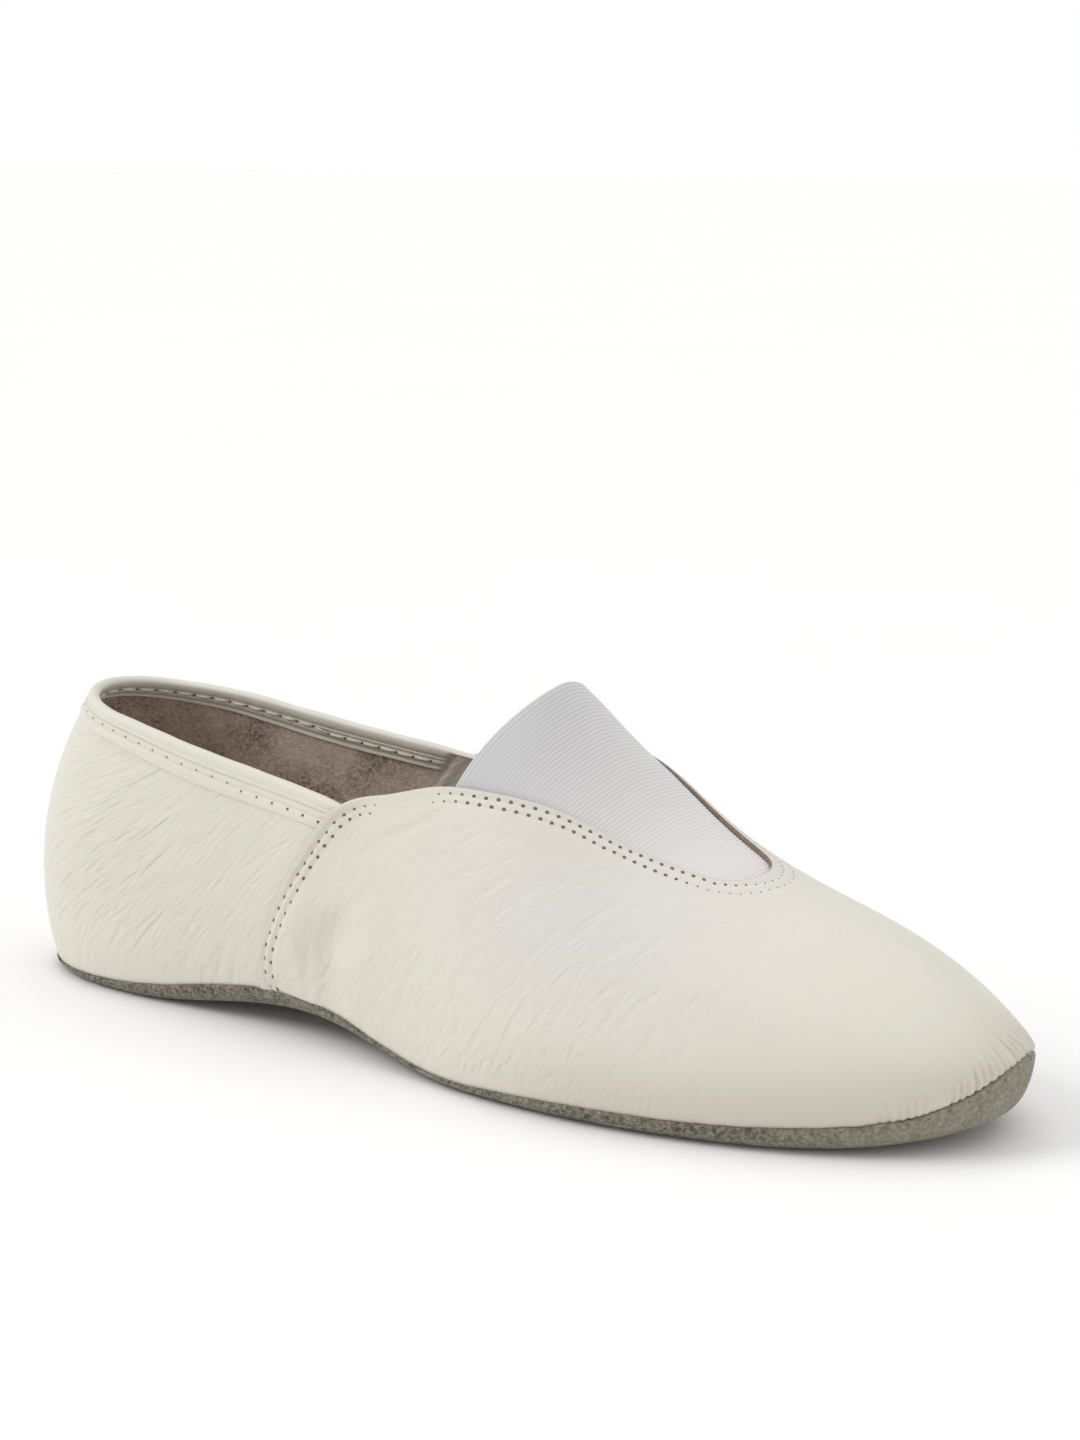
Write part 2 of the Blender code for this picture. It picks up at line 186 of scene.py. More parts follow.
class Lamp(NamedTuple):
    """Wide, even light far off."""

    name: str
    source: tuple[float, float, float]
    degrees: float      # how wide it is
    strength: float


class RowPoint(NamedTuple):
    """Where the two stitch rows lie at one distance along the vamp's edge, from the sole up."""

    along: float
    first: float        # away from the edge
    second: float


class Crease(NamedTuple):
    """Crease in the leather, along given points of X and Z in millimetres."""

    side: Side
    points: tuple[tuple[float, float], ...]
    width: float
    depth: float


LAST_SECTIONS = (
    Section(0.00, 0.000, 1.8 * MM, 6.4 * MM, 0.87, 1.12),
    Section(0.04, 0.212, 1.9 * MM, 7.9 * MM, 0.89, 1.20),
    Section(0.12, 0.293, 2.7 * MM, 7.0 * MM, 0.93, 1.15),
    Section(0.25, 0.310, 4.5 * MM, 5.2 * MM, 0.98, 1.04),
    Section(0.38, 0.348, 3.4 * MM, 3.8 * MM, 1.04, 1.01),
    Section(0.50, 0.438, 1.6 * MM, 3.2 * MM, 1.06, 1.00),
    Section(0.62, 0.500, 3.1 * MM, 3.4 * MM, 1.05, 1.00),
    Section(0.74, 0.484, 4.0 * MM, 3.7 * MM, 1.03, 1.00),
    Section(0.86, 0.393, 5.0 * MM, 3.9 * MM, 1.01, 1.00),
    Section(0.95, 0.249, 6.3 * MM, 3.1 * MM, 0.90, 1.00),
    Section(1.00, 0.000, 11.3 * MM, 0.2 * MM, 0.88, 1.00),
)

TOP_LINE = (
    Height(0.000, 0.879), Height(0.203, 0.954), Height(0.346, 1.000), Height(0.467, 0.947),
    Height(0.569, 0.814), Height(0.671, 0.593), Height(0.772, 0.460), Height(0.862, 0.390),
    Height(0.943, 0.303), Height(1.000, 0.220),
)

COLLAR_LINE = (
    Height(0.000, 1.000), Height(0.050, 0.974), Height(0.120, 0.948), Height(0.190, 0.914),
    Height(0.270, 0.874), Height(0.350, 0.836), Height(0.395, 0.811),
)

THROAT_LINE = (
    Opening(0.390, 60.2), Opening(0.405, 57.6), Opening(0.443, 53.5), Opening(0.493, 47.4),
    Opening(0.553, 41.0), Opening(0.613, 32.7), Opening(0.683, 24.7), Opening(0.743, 18.7),
    Opening(0.813, 12.6),
)

BINDING_LEG = (
    LegPoint(6.90 * MM, 0.10 * MM), LegPoint(6.70 * MM, 0.42 * MM), LegPoint(6.20 * MM, 0.58 * MM),
    LegPoint(5.30 * MM, 0.56 * MM), LegPoint(4.75 * MM, 0.42 * MM), LegPoint(4.30 * MM, 0.22 * MM),
    LegPoint(3.85 * MM, 0.46 * MM), LegPoint(3.40 * MM, 0.60 * MM), LegPoint(2.95 * MM, 0.52 * MM),
    LegPoint(2.65 * MM, 0.20 * MM), LegPoint(2.35 * MM, 0.52 * MM), LegPoint(2.00 * MM, 0.62 * MM),
    LegPoint(1.75 * MM, 0.50 * MM), LegPoint(1.45 * MM, 0.58 * MM), LegPoint(0.90 * MM, 0.72 * MM),
    LegPoint(0.30 * MM, 0.68 * MM),
)

SEAM_ROWS = (
    RowPoint(0.0 * MM, 4.2 * MM, 6.2 * MM), RowPoint(4.0 * MM, 2.6 * MM, 4.6 * MM),
    RowPoint(8.0 * MM, 1.5 * MM, 3.4 * MM), RowPoint(13.0 * MM, 1.15 * MM, 3.15 * MM),
    RowPoint(20.0 * MM, 1.5 * MM, 3.5 * MM),
    RowPoint(35.0 * MM, 2.25 * MM, 4.2 * MM), RowPoint(50.0 * MM, 2.5 * MM, 4.2 * MM),
    RowPoint(72.0 * MM, 1.9 * MM, 3.4 * MM), RowPoint(95.0 * MM, 1.55 * MM, 3.35 * MM),
    RowPoint(112.0 * MM, 1.65 * MM, 3.45 * MM), RowPoint(140.0 * MM, 1.7 * MM, 4.1 * MM),
    RowPoint(156.0 * MM, 2.9 * MM, 5.4 * MM),
)

VAMP_CREASES = (
    Crease(Side.NEAR, ((-20.0, 34.3), (-23.3, 27.0), (-26.6, 20.5), (-25.0, 15.0), (-22.7, 9.0)),
           5.0 * MM, 2.1 * MM),
    Crease(Side.NEAR, ((-34.0, 25.8), (-33.2, 18.0), (-33.2, 10.0)), 1.3 * MM, 0.34 * MM),
    Crease(Side.NEAR, ((-18.6, 17.5), (-18.9, 10.5)), 0.8 * MM, 0.30 * MM),
    Crease(Side.NEAR, ((-14.6, 17.0), (-15.6, 7.2)), 0.8 * MM, 0.28 * MM),
    Crease(Side.NEAR, ((-17.7, 44.0), (-12.0, 48.9), (-3.1, 53.5), (6.0, 59.4)), 0.8 * MM, 0.26 * MM),
    Crease(Side.NEAR, ((-16.5, 42.6), (-10.0, 48.4), (-5.0, 51.0)), 0.8 * MM, 0.20 * MM),
    Crease(Side.NEAR, ((-27.0, 27.0), (-20.6, 32.6), (-8.0, 41.0)), 1.4 * MM, 0.20 * MM),
    Crease(Side.NEAR, ((-6.0, 8.0), (-4.0, 14.0), (0.5, 21.0)), 1.1 * MM, 0.20 * MM),
    Crease(Side.NEAR, ((-25.5, 19.0), (-19.0, 24.0), (-11.0, 28.0)), 1.2 * MM, 0.16 * MM),
    Crease(Side.FAR, ((-20.5, 34.0), (-24.0, 24.0), (-22.8, 9.0)), 4.6 * MM, 1.2 * MM),
    Crease(Side.FAR, ((-15.0, 17.0), (-16.0, 7.4)), 0.9 * MM, 0.26 * MM),
    Crease(Side.FAR, ((-18.0, 44.0), (-8.5, 50.5), (4.0, 58.0)), 0.9 * MM, 0.24 * MM),
    Crease(Side.FAR, ((-26.5, 26.0), (-18.0, 33.5), (-7.0, 40.0)), 1.4 * MM, 0.20 * MM),
)

QUARTER_CREASES = (
    Crease(Side.NEAR, ((-76.0, 42.3), (-66.1, 45.1), (-53.0, 48.8)), 1.2 * MM, 0.10 * MM),
    Crease(Side.NEAR, ((-79.0, 33.5), (-67.4, 39.0), (-57.0, 43.5)), 1.4 * MM, 0.12 * MM),
    Crease(Side.NEAR, ((-72.0, 47.5), (-62.0, 50.0), (-50.0, 51.0)), 1.2 * MM, 0.09 * MM),
    Crease(Side.NEAR, ((-104.0, 43.0), (-94.5, 51.6), (-86.0, 58.0)), 1.5 * MM, 0.13 * MM),
    Crease(Side.NEAR, ((-97.0, 37.5), (-85.7, 47.3), (-74.0, 55.5)), 1.4 * MM, 0.12 * MM),
    Crease(Side.NEAR, ((-60.6, 6.0), (-59.1, 13.9), (-56.8, 20.0)), 1.2 * MM, 0.16 * MM),
    Crease(Side.NEAR, ((-55.6, 7.0), (-53.4, 16.0)), 1.1 * MM, 0.14 * MM),
    Crease(Side.NEAR, ((-70.6, 6.0), (-67.0, 14.9), (-61.0, 22.0)), 1.4 * MM, 0.14 * MM),
    Crease(Side.NEAR, ((-52.0, 35.0), (-46.0, 40.0), (-38.0, 43.5)), 1.4 * MM, 0.10 * MM),
    Crease(Side.FAR, ((-78.0, 36.0), (-68.0, 41.0), (-56.0, 46.0)), 1.3 * MM, 0.12 * MM),
    Crease(Side.FAR, ((-99.0, 39.0), (-88.0, 48.5), (-77.0, 56.0)), 1.4 * MM, 0.13 * MM),
    Crease(Side.FAR, ((-62.0, 6.5), (-60.0, 14.0), (-56.0, 21.0)), 1.2 * MM, 0.16 * MM),
    Crease(Side.FAR, ((-72.0, 6.0), (-68.5, 15.0), (-63.0, 21.0)), 1.2 * MM, 0.14 * MM),
)


def girth(station: Array) -> Array:
    """Turn of the feather line at a share of the last's length."""
    return np.arccos(1 - 2 * np.asarray(station, float))


def station_of(turn: Array) -> Array:
    """Share of the last's length at a turn of the feather line."""
    return (1 - np.cos(turn)) / 2


def column_of(rows: Sequence[NamedTuple], name: str) -> Array:
    """One named column of a table."""
    return np.array([getattr(row, name) for row in rows])


def bell(distance: Array, width: float) -> Array:
    """Soft hump, 1 at no distance."""
    return np.exp(-(distance / width) ** 2)


def ramp(value: Array, start: float, end: float) -> Array:
    """Smooth step, 0 at the start and 1 at the end, either way round."""
    share = np.clip((value - start) / (end - start), 0, 1)
    return share * share * (3 - 2 * share)


def rounding(distance: Array, edge: Swell) -> Array:
    """How far a rounded edge lies back, at distances from it."""
    return edge.height * np.clip(1 - distance / edge.width, 0, 1) ** 2


def spline(knots: Sequence[float], values: Sequence[float], flat_ends: bool = False) -> Profile:
    """Cubic curve through values.

    Args:
        knots: Places of the values, rising.
        values: What the curve passes through.
        flat_ends: True for ends without slope, False for ends without bend.

    Returns:
        Function that gives the curve's value at any places.
    """
    knots = np.asarray(knots, float)
    values = np.asarray(values, float)
    steps = np.diff(knots)
    slopes = np.diff(values) / steps
    last = len(knots) - 1
    system = np.eye(last + 1)
    target = np.zeros(last + 1)
    for i in range(1, last):
        system[i, i - 1:i + 2] = steps[i - 1], 2 * (steps[i - 1] + steps[i]), steps[i]
        target[i] = 6 * (slopes[i] - slopes[i - 1])
    if flat_ends:
        system[0, :2] = 2 * steps[0], steps[0]
        target[0] = 6 * slopes[0]
        system[last, last - 1:] = steps[-1], 2 * steps[-1]
        target[last] = -6 * slopes[-1]
    bends = np.linalg.solve(system, target)

    def value(place: Array) -> Array:
        """Height of the curve.

        Args:
            place: Places along it.

        Returns:
            Height at each place.
        """
        i = np.clip(np.searchsorted(knots, place, side="right") - 1, 0, last - 1)
        after = (place - knots[i]) / steps[i]
        before = 1 - after
        bow = (before ** 3 - before) * bends[i] + (after ** 3 - after) * bends[i + 1]
        return before * values[i] + after * values[i + 1] + bow * steps[i] ** 2 / 6

    return value


def crossing(holds: Callable[[float], bool], low: float, high: float) -> float:
    """Value between low and high where a test that holds at low stops holding.

    Args:
        holds: The test.
        low: A value at which it holds.
        high: A value at which it doesn't.

    Returns:
        The last value at which it holds.
    """
    while high - low > TINY:
        middle = (low + high) / 2
        if holds(middle):
            low = middle
        else:
            high = middle
    return low


def lengths_along(points: Array, axis: int = 0) -> Array:
    """Distance from the first point to each point of a line, or of each line of a grid.

    Args:
        points: Points of the line or grid.
        axis: Axis of the array along which a line runs.

    Returns:
        The distances.
    """
    steps = np.linalg.norm(np.diff(points, axis=axis), axis=-1)
    start = np.zeros_like(np.take(steps, [0], axis))
    return np.concatenate([start, np.cumsum(steps, axis)], axis)


@dataclass
class Last:
    """Form that the slipper is made on, with the sizes that its solids have."""

    length: float = 246 * MM
    ball_width: float = 78.8 * MM
    instep_height: float = 100.7 * MM
    ridge_heel: float = 54.4 * MM
    ridge_toe: float = 218.6 * MM
    belly_shape: float = 2.6
    sole_proud: float = 0.6 * MM
    heel_roll: float = 0.8 * MM
    heel_roll_end: float = 0.05
    arch_lift: float = 5.2 * MM
    arch: tuple[float, float] = (0.14, 0.56)
    toe_spring: float = 6.5 * MM
    toe_spring_start: float = 0.76
    nudge: float = 0.01
    heel: float = field(init=False)

    def __post_init__(self) -> None:
        """Run the curves through the sections, and find the heel in the frame."""
        self.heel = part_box("outsole")[0].x + self.sole_proud
        turns = girth(column_of(LAST_SECTIONS, "station"))
        self.half_width = spline(turns, column_of(LAST_SECTIONS, "half_width") * self.ball_width)
        self.rim = spline(turns, column_of(LAST_SECTIONS, "rim"), flat_ends=True)
        self.belly = spline(turns, column_of(LAST_SECTIONS, "belly"), flat_ends=True)
        self.taper = spline(turns, column_of(LAST_SECTIONS, "taper"), flat_ends=True)
        self.rise = spline(turns, column_of(LAST_SECTIONS, "rise"), flat_ends=True)
        self.top = spline(column_of(TOP_LINE, "station") * self.length,
                          column_of(TOP_LINE, "height") * self.instep_height)

    def sole_lift(self, station: Array) -> Array:
        """Height of the sole's underside above the floor.

        Args:
            station: Share of the last's length, from the heel.

        Returns:
            Height at each station.
        """
        roll = np.clip(1 - station / self.heel_roll_end, 0, 1) ** 2
        arch = np.clip((station - self.arch[0]) / (self.arch[1] - self.arch[0]), 0, 1)
        toe = np.clip((station - self.toe_spring_start) / (1 - self.toe_spring_start), 0, None) ** 3
        return self.heel_roll * roll + self.arch_lift * np.sin(math.pi * arch) ** 2 + self.toe_spring * toe

    def feather(self, turn: Array, side: Array) -> Array:
        """Points of the feather line, where upper and sole meet.

        Args:
            turn: 0 at the back of the heel, pi at the tip of the toe.
            side: Sign of Y.

        Returns:
            Points with X from the back of the heel.
        """
        station = station_of(turn)
        height = self.sole_lift(station) + self.rim(turn)
        return np.stack(np.broadcast_arrays(self.length * station, side * self.half_width(turn), height), -1)

    def at(self, turn: Array, climb: Array, side: Array) -> Array:
        """Points of the last's surface.

        Args:
            turn: 0 at the back of the heel, pi at the tip of the toe.
            climb: 0 on the feather line, a quarter turn on the ridge.
            side: Sign of Y.

        Returns:
            Points in the frame.
        """
        foot = self.feather(turn, side)
        ridge = self.ridge_heel + (self.ridge_toe - self.ridge_heel) * station_of(turn)
        reach_x, reach_y = foot[..., 0] - ridge, foot[..., 1]
        cosine = np.clip(np.cos(climb), 0, 1)
        sine = np.clip(np.sin(climb), 0, 1)
        belly = self.belly(turn) * self.belly_shape * sine * cosine ** 2
        share = cosine ** self.taper(turn) + belly / np.hypot(reach_x, reach_y)
        x = ridge + reach_x * share
        z = foot[..., 2] + (self.top(x) - foot[..., 2]) * sine ** self.rise(turn)
        return np.stack([x + self.heel, reach_y * share, z], -1)

    def normal(self, turn: Array, climb: Array, side: Array) -> Array:
        """Outward directions of the last's surface.

        Args:
            turn: 0 at the back of the heel, pi at the tip of the toe.
            climb: 0 on the feather line, a quarter turn on the ridge.
            side: Sign of Y.

        Returns:
            Unit vectors.
        """
        climb = np.asarray(climb, float)
        along = self.at(turn + self.nudge, climb, side) - self.at(turn - self.nudge, climb, side)
        higher = self.at(turn, np.clip(climb + self.nudge, 0, RIDGE), side)
        lower = self.at(turn, np.clip(climb - self.nudge, 0, RIDGE), side)
        out = np.cross(along, higher - lower) * -np.asarray(side)[..., None]
        out[..., 1] = np.where(climb > RIDGE - TINY, 0, out[..., 1])
        return out / np.linalg.norm(out, axis=-1, keepdims=True)


@dataclass
class Lay:
    """Grid of places on the last, columns from the feather line up to an edge."""

    turns: Array
    sides: Array
    points: Array
    normals: Array

    @property
    def heights(self) -> Array:
        """Distance of each point from the feather line, up its column."""
        return lengths_along(self.points, 1)

    def raised(self, relief: Array) -> Array:
        """Points moved off the last by a relief."""
        return self.points + self.normals * relief[..., None]

    def ground_line(self, crease: Crease) -> Array:
        """Points on the last along a crease that is given in side view.

        Args:
            crease: The crease.

        Returns:
            Close points of a smooth line on the sheet.
        """
        on_side = np.broadcast_to(self.sides, self.points.shape[:2]) == crease.side.value
        places = self.points[on_side]
        line = [places[np.hypot(places[:, 0] - x * MM, places[:, 2] - z * MM).argmin()]
                for x, z in crease.points]
        knots = lengths_along(np.array(line))
        fine = np.linspace(0, knots[-1], CREASE_POINTS)
        return np.stack([spline(knots, axis)(fine) for axis in np.array(line).T], -1)


@dataclass
class Pattern:
    """Edges of the leather on the last: collar, throat and side seam."""

    last: Last
    heel_height: float = 69.0 * MM
    cover: float = 1.1 * MM     # binding and gap above the quarter's cut edge
    seam_foot: float = 0.304
    seam_top: float = 0.390
    seam_curve: float = 1.35
    seam_lean_end: float = 0.80
    throat_tip: float = 187.6 * MM
    throat_round: float = 9.0 * MM
    throat_blunt: float = 3.0

    def __post_init__(self) -> None:
        """Run the edge curves, and find the turns at which the seam and the throat end."""
        self.collar = spline(column_of(COLLAR_LINE, "station"),
                             column_of(COLLAR_LINE, "height") * self.heel_height)
        self.throat = spline(column_of(THROAT_LINE, "station"), np.radians(column_of(THROAT_LINE, "degrees")))
        span = self.last.ridge_toe - self.last.ridge_heel
        self.seam_turn = float(girth(self.seam_top))
        self.throat_turn = float(girth((self.throat_tip - self.last.ridge_heel) / span))

    def collar_climb(self, turn: float) -> float:
        """Climb of the quarter's cut edge, which the binding covers."""
        height = float(self.collar(station_of(turn))) - self.cover
        return crossing(lambda climb: self.last.at(turn, climb, -1.0)[2] < height, 0.0, RIDGE)

    def throat_climb(self, turn: float) -> float:
        """Climb of the vamp's edge, which closes on the ridge at the rounded end of the throat.

        Args:
            turn: Turn of the column.

        Returns:
            Climb of the edge on that column.
        """
        if turn >= self.throat_turn:
            return RIDGE
        side_climb = RIDGE - float(self.throat(station_of(turn)))
        side_width = abs(self.last.at(turn, side_climb, -1.0)[1])

        def outside(climb: float) -> bool:
            """Whether a place on the column lies outside the throat's outline.

            Args:
                climb: Climb of the place.

            Returns:
                True outside.
            """
            x, y, _ = self.last.at(turn, climb, -1.0)
            into_end = min(1.0, max(0.0, 1 - (self.throat_tip + self.last.heel - x) / self.throat_round))
            return abs(y) > side_width * math.sqrt(1 - into_end ** self.throat_blunt)

        return crossing(outside, side_climb, RIDGE)

    def lean(self, turn: float) -> float:
        """Share of the side seam's lean that a column has.

        Args:
            turn: Turn of the column.

        Returns:
            1 on the seam itself, 0 far from it.
        """
        ahead = turn - self.seam_turn
        span = self.seam_turn if ahead < 0 else float(girth(self.seam_lean_end)) - self.seam_turn
        return math.cos(RIDGE * max(-1.0, min(1.0, ahead / span))) ** 2

    def place(self, turn: float, share: Array, edge: float) -> tuple[Array, Array]:
        """Turns and climbs on one column, share 0 on the feather line and 1 on the edge's climb."""
        seam = self.seam_foot + (self.seam_top - self.seam_foot) * np.clip(share, 0, None) ** self.seam_curve
        return turn + self.lean(turn) * (girth(seam) - self.seam_turn), share * edge

    def turns_past_seam(self, distance: float) -> float:
        """Turn that goes with a distance forward of the side seam's top."""
        return distance / (self.last.length / 2 * math.sin(self.seam_turn))

    def round_heel(self, columns: int, past: float) -> tuple[list[float], list[float]]:
        """Columns from the far side seam round the heel to the near one.

        Args:
            columns: How many there are from the heel to one end.
            past: How far past the seam they go.

        Returns:
            Turn and sign of Y of each column.
        """
        half = list(np.linspace(0, self.seam_turn + self.turns_past_seam(past), columns))
        return half[:0:-1] + half, [Side.FAR.value] * (columns - 1) + [Side.NEAR.value] * columns

    def lay(self, turns: Sequence[float], sides: Sequence[float], climb: Callable[[float], float],
            drops: Sequence[float], lifts: Sequence[float], middle_rows: int,
            widen: Callable[[float], float] = lambda turn: 1.0) -> Lay:
        """Grid of places under an edge.

        Args:
            turns: Turn of each column.
            sides: Sign of Y of each column.
            climb: Climb of the edge at a turn.
            drops: Distances of the close rows below the edge.
            lifts: Distances of the close rows above the feather line.
            middle_rows: Number of rows between those.
            widen: Share of those drops that a column has, at its turn.

        Returns:
            The grid, with rows from the feather line up.
        """
        found: dict[float, tuple[Array, Array]] = {}
        for turn in turns:
            if turn in found:
                continue
            edge = climb(turn)
            rough = self.place(turn, np.linspace(0, 1, ROUGH_POINTS), edge)
            height = lengths_along(self.last.at(*rough, -1.0))[-1]
            below = np.array(drops[::-1]) * widen(turn)
            low, high = lifts[-1] / height, 1 - below[0] / height
            middle = np.linspace(low, high, middle_rows + 2)[1:-1]
            share = np.concatenate([np.array(lifts) / height, middle, 1 - below / height])
            found[turn] = self.place(turn, share, edge)
        turn_grid, climb_grid = (np.stack([found[turn][i] for turn in turns]) for i in (0, 1))
        side_grid = np.broadcast_to(np.array(sides)[:, None], turn_grid.shape)
        points = self.last.at(turn_grid, climb_grid, side_grid)
        return Lay(np.array(turns), side_grid, points, self.last.normal(turn_grid, climb_grid, side_grid))


class EdgeLine:
    """Line on the last, with distances along it and away from it."""

    def __init__(self, points: Array) -> None:
        """Keep the line's points and their distances along it."""
        self.points = points
        self.along = lengths_along(points)

    def measure(self, places: Array, chunk: int = 4000) -> tuple[Array, Array]:
        """Distances of places from the line.

        Args:
            places: Points in any array shape.
            chunk: How many points are worked out together.

        Returns:
            Distance along the line to the nearest point of it, and distance away from it.
        """
        flat = places.reshape(-1, 3)
        start, run = self.points[:-1], np.diff(self.points, axis=0)
        squared = (run ** 2).sum(-1) + TINY ** 2
        along, away = np.empty(len(flat)), np.empty(len(flat))
        for first in range(0, len(flat), chunk):
            off = flat[first:first + chunk, None, :] - start
            share = np.clip((off * run).sum(-1) / squared, 0, 1)
            gap = ((off - share[..., None] * run) ** 2).sum(-1)
            best = gap.argmin(1)
            row = np.arange(len(best))
            along[first:first + chunk] = self.along[best] + share[row, best] * np.sqrt(squared[best])
            away[first:first + chunk] = np.sqrt(gap[row, best])
        return along.reshape(places.shape[:-1]), away.reshape(places.shape[:-1])


FOLD_SHOULDER = Swell(0.4, 1.9)     # height and distance, in depths and widths of the crease
FOLD_ENDS = (0.02, 0.98)
FOLD_FADE = 0.7


def fold_relief(lay: Lay, creases: Sequence[Crease]) -> Array:
    """Troughs with soft shoulders along the given creases.

    Args:
        lay: The sheet that they are worked into.
        creases: The creases.

    Returns:
        Relief of the sheet.
    """
    relief = np.zeros(lay.points.shape[:2])
    for crease in creases:
        line = EdgeLine(lay.ground_line(crease))
        along, away = line.measure(lay.points)
        share = along / line.along[-1]
        fade = np.sin(math.pi * np.clip(share, *FOLD_ENDS)) ** FOLD_FADE
        shoulder = FOLD_SHOULDER.height * bell(away - FOLD_SHOULDER.width * crease.width, crease.width)
        relief += crease.depth * fade * (shoulder - bell(away, crease.width))
    return relief


def linear(colour: str) -> tuple[float, float, float, float]:
    """Linear colour of an sRGB one.

    Args:
        colour: Hash sign and the hex digits of red, green and blue.

    Returns:
        Linear red, green and blue, and a full alpha.
    """
    channels = [int(colour[i:i + 2], 16) / 255 for i in (1, 3, 5)]
    red, green, blue = (c / 12.92 if c <= 0.04045 else ((c + 0.055) / 1.055) ** 2.4 for c in channels)
    return red, green, blue, 1.0


def feed(tree: bpy.types.NodeTree, node: bpy.types.Node, inputs: dict) -> None:
    """Give a node's inputs their values and links.

    Args:
        tree: Tree of the node.
        node: The node.
        inputs: Values or sockets for its inputs, by name or number.
    """
    for key, value in inputs.items():
        if isinstance(value, bpy.types.NodeSocket):
            tree.links.new(value, node.inputs[key])
        else:
            node.inputs[key].default_value = value


def add_node(tree: bpy.types.NodeTree, kind: str, inputs: Optional[dict] = None, **settings: object
             ) -> bpy.types.Node:
    """Add a node to a tree.

    Args:
        tree: Where it goes.
        kind: Blender's name for the node.
        inputs: Values or sockets for its inputs, by name or number.
        settings: Its other settings.

    Returns:
        The node.
    """
    node = tree.nodes.new(kind)
    for name, value in settings.items():
        setattr(node, name, value)
    feed(tree, node, inputs or {})
    return node


@dataclass(frozen=True)
class Finish:
    """What every finish of the slipper has: a name and a shader."""

    name: str

    def start(self) -> tuple[bpy.types.Material, bpy.types.NodeTree, bpy.types.Node]:
        """Start the finish's material.

        Returns:
            The material, its tree and its main shader.
        """
        material = bpy.data.materials.new(self.name)
        material.use_nodes = True
        return material, material.node_tree, material.node_tree.nodes["Principled BSDF"]


@dataclass(frozen=True)
class GrainLeather(Finish):
    """Dyed kid leather, drum-softened: a satin skin with a fine pebble and short bent creases."""

    colour: str = "#E3DFD3"
    shade: str = "#D9D5C9"
    cool: str = "#DFDBD8"
    # colour of the cut edge: it tints the vamp's edge, and low on the vamp's front it stands in as painted
    # shade
    cut: str = "#C8C0B2"
    roughness: float = 0.5
    pebble: float = 1.0 * MM
    creases: tuple[tuple[float, float, float], ...] = (
        (1.9 * MM, 5.0 * MM, 0.15 * MM), (1.1 * MM, 2.8 * MM, 0.07 * MM))
    patch: float = 45.0 * MM

    def build(self) -> bpy.types.Material:
        """Build the leather, whose creases follow the sheet's own map and show by its wrinkle value.

        Returns:
            The material.
        """
        material, tree, shader = self.start()
        place = add_node(tree, "ShaderNodeTexCoord")
        chart = add_node(tree, "ShaderNodeUVMap", uv_map="grain")
        weight = add_node(tree, "ShaderNodeAttribute", attribute_name="wrinkle")
        tint_and_painted_shading = add_node(tree, "ShaderNodeAttribute", attribute_name="edge_tint_and_painted_shade")
        patches = add_node(tree, "ShaderNodeTexNoise", {
            "Vector": place.outputs["Object"], "Scale": 1 / self.patch, "Detail": 2.0})
        tone = add_node(tree, "ShaderNodeMix", {
            BY: patches.outputs["Fac"], FROM: linear(self.shade), TO: linear(self.colour)}, data_type="RGBA")
        lilac = add_node(tree, "ShaderNodeAttribute", attribute_name="cool")
        hue = add_node(tree, "ShaderNodeMix", {
            BY: lilac.outputs["Fac"], FROM: tone.outputs[MIXED], TO: linear(self.cool)}, data_type="RGBA")
        # mixed towards the cut edge's colour by a mark that tints the vamp's edge and paints shade low on its
        # front
        edge = add_node(tree, "ShaderNodeMix", {
            BY: tint_and_painted_shading.outputs["Fac"], FROM: hue.outputs[MIXED], TO: linear(self.cut)}, data_type="RGBA")
        pebbles = add_node(tree, "ShaderNodeTexVoronoi", {
            "Vector": place.outputs["Object"], "Scale": 1 / self.pebble, "Smoothness": 0.6},
            feature="SMOOTH_F1")
        skin = add_node(tree, "ShaderNodeBump", {
            "Height": pebbles.outputs["Distance"], "Strength": 0.5, "Distance": 0.05 * MM}, invert=True)
        for pitch, length, depth in self.creases:
            stretch = add_node(tree, "ShaderNodeMapping", {
                "Vector": chart.outputs["UV"], "Scale": (0.5 / pitch, 0.5 / length, 1.0)})
            field_noise = add_node(tree, "ShaderNodeTexNoise", {
                "Vector": stretch.outputs["Vector"], "Scale": 1.0, "Detail": 1.0, "Roughness": 0.5,
                "Distortion": 0.4})
            centred = add_node(tree, "ShaderNodeMath", {
                0: field_noise.outputs["Fac"], 1: 0.5}, operation="SUBTRACT")
            folded = add_node(tree, "ShaderNodeMath", {0: centred.outputs["Value"]}, operation="ABSOLUTE")
            trough = add_node(tree, "ShaderNodeMapRange", {
                "Value": folded.outputs["Value"], "From Max": 0.3}, interpolation_type="SMOOTHSTEP")
            shown = add_node(tree, "ShaderNodeMath", {
                0: trough.outputs["Result"], 1: weight.outputs["Fac"]}, operation="MULTIPLY")
            skin = add_node(tree, "ShaderNodeBump", {
                "Height": shown.outputs["Value"], "Strength": 1.0, "Distance": depth,
                "Normal": skin.outputs["Normal"]})
        gloss = add_node(tree, "ShaderNodeMapRange", {
            "Value": patches.outputs["Fac"],
            "To Min": self.roughness - 0.06, "To Max": self.roughness + 0.06})
        feed(tree, shader, {
            "Base Color": edge.outputs[MIXED], "Roughness": gloss.outputs["Result"],
            "Normal": skin.outputs["Normal"], "IOR": 1.46})
        return material


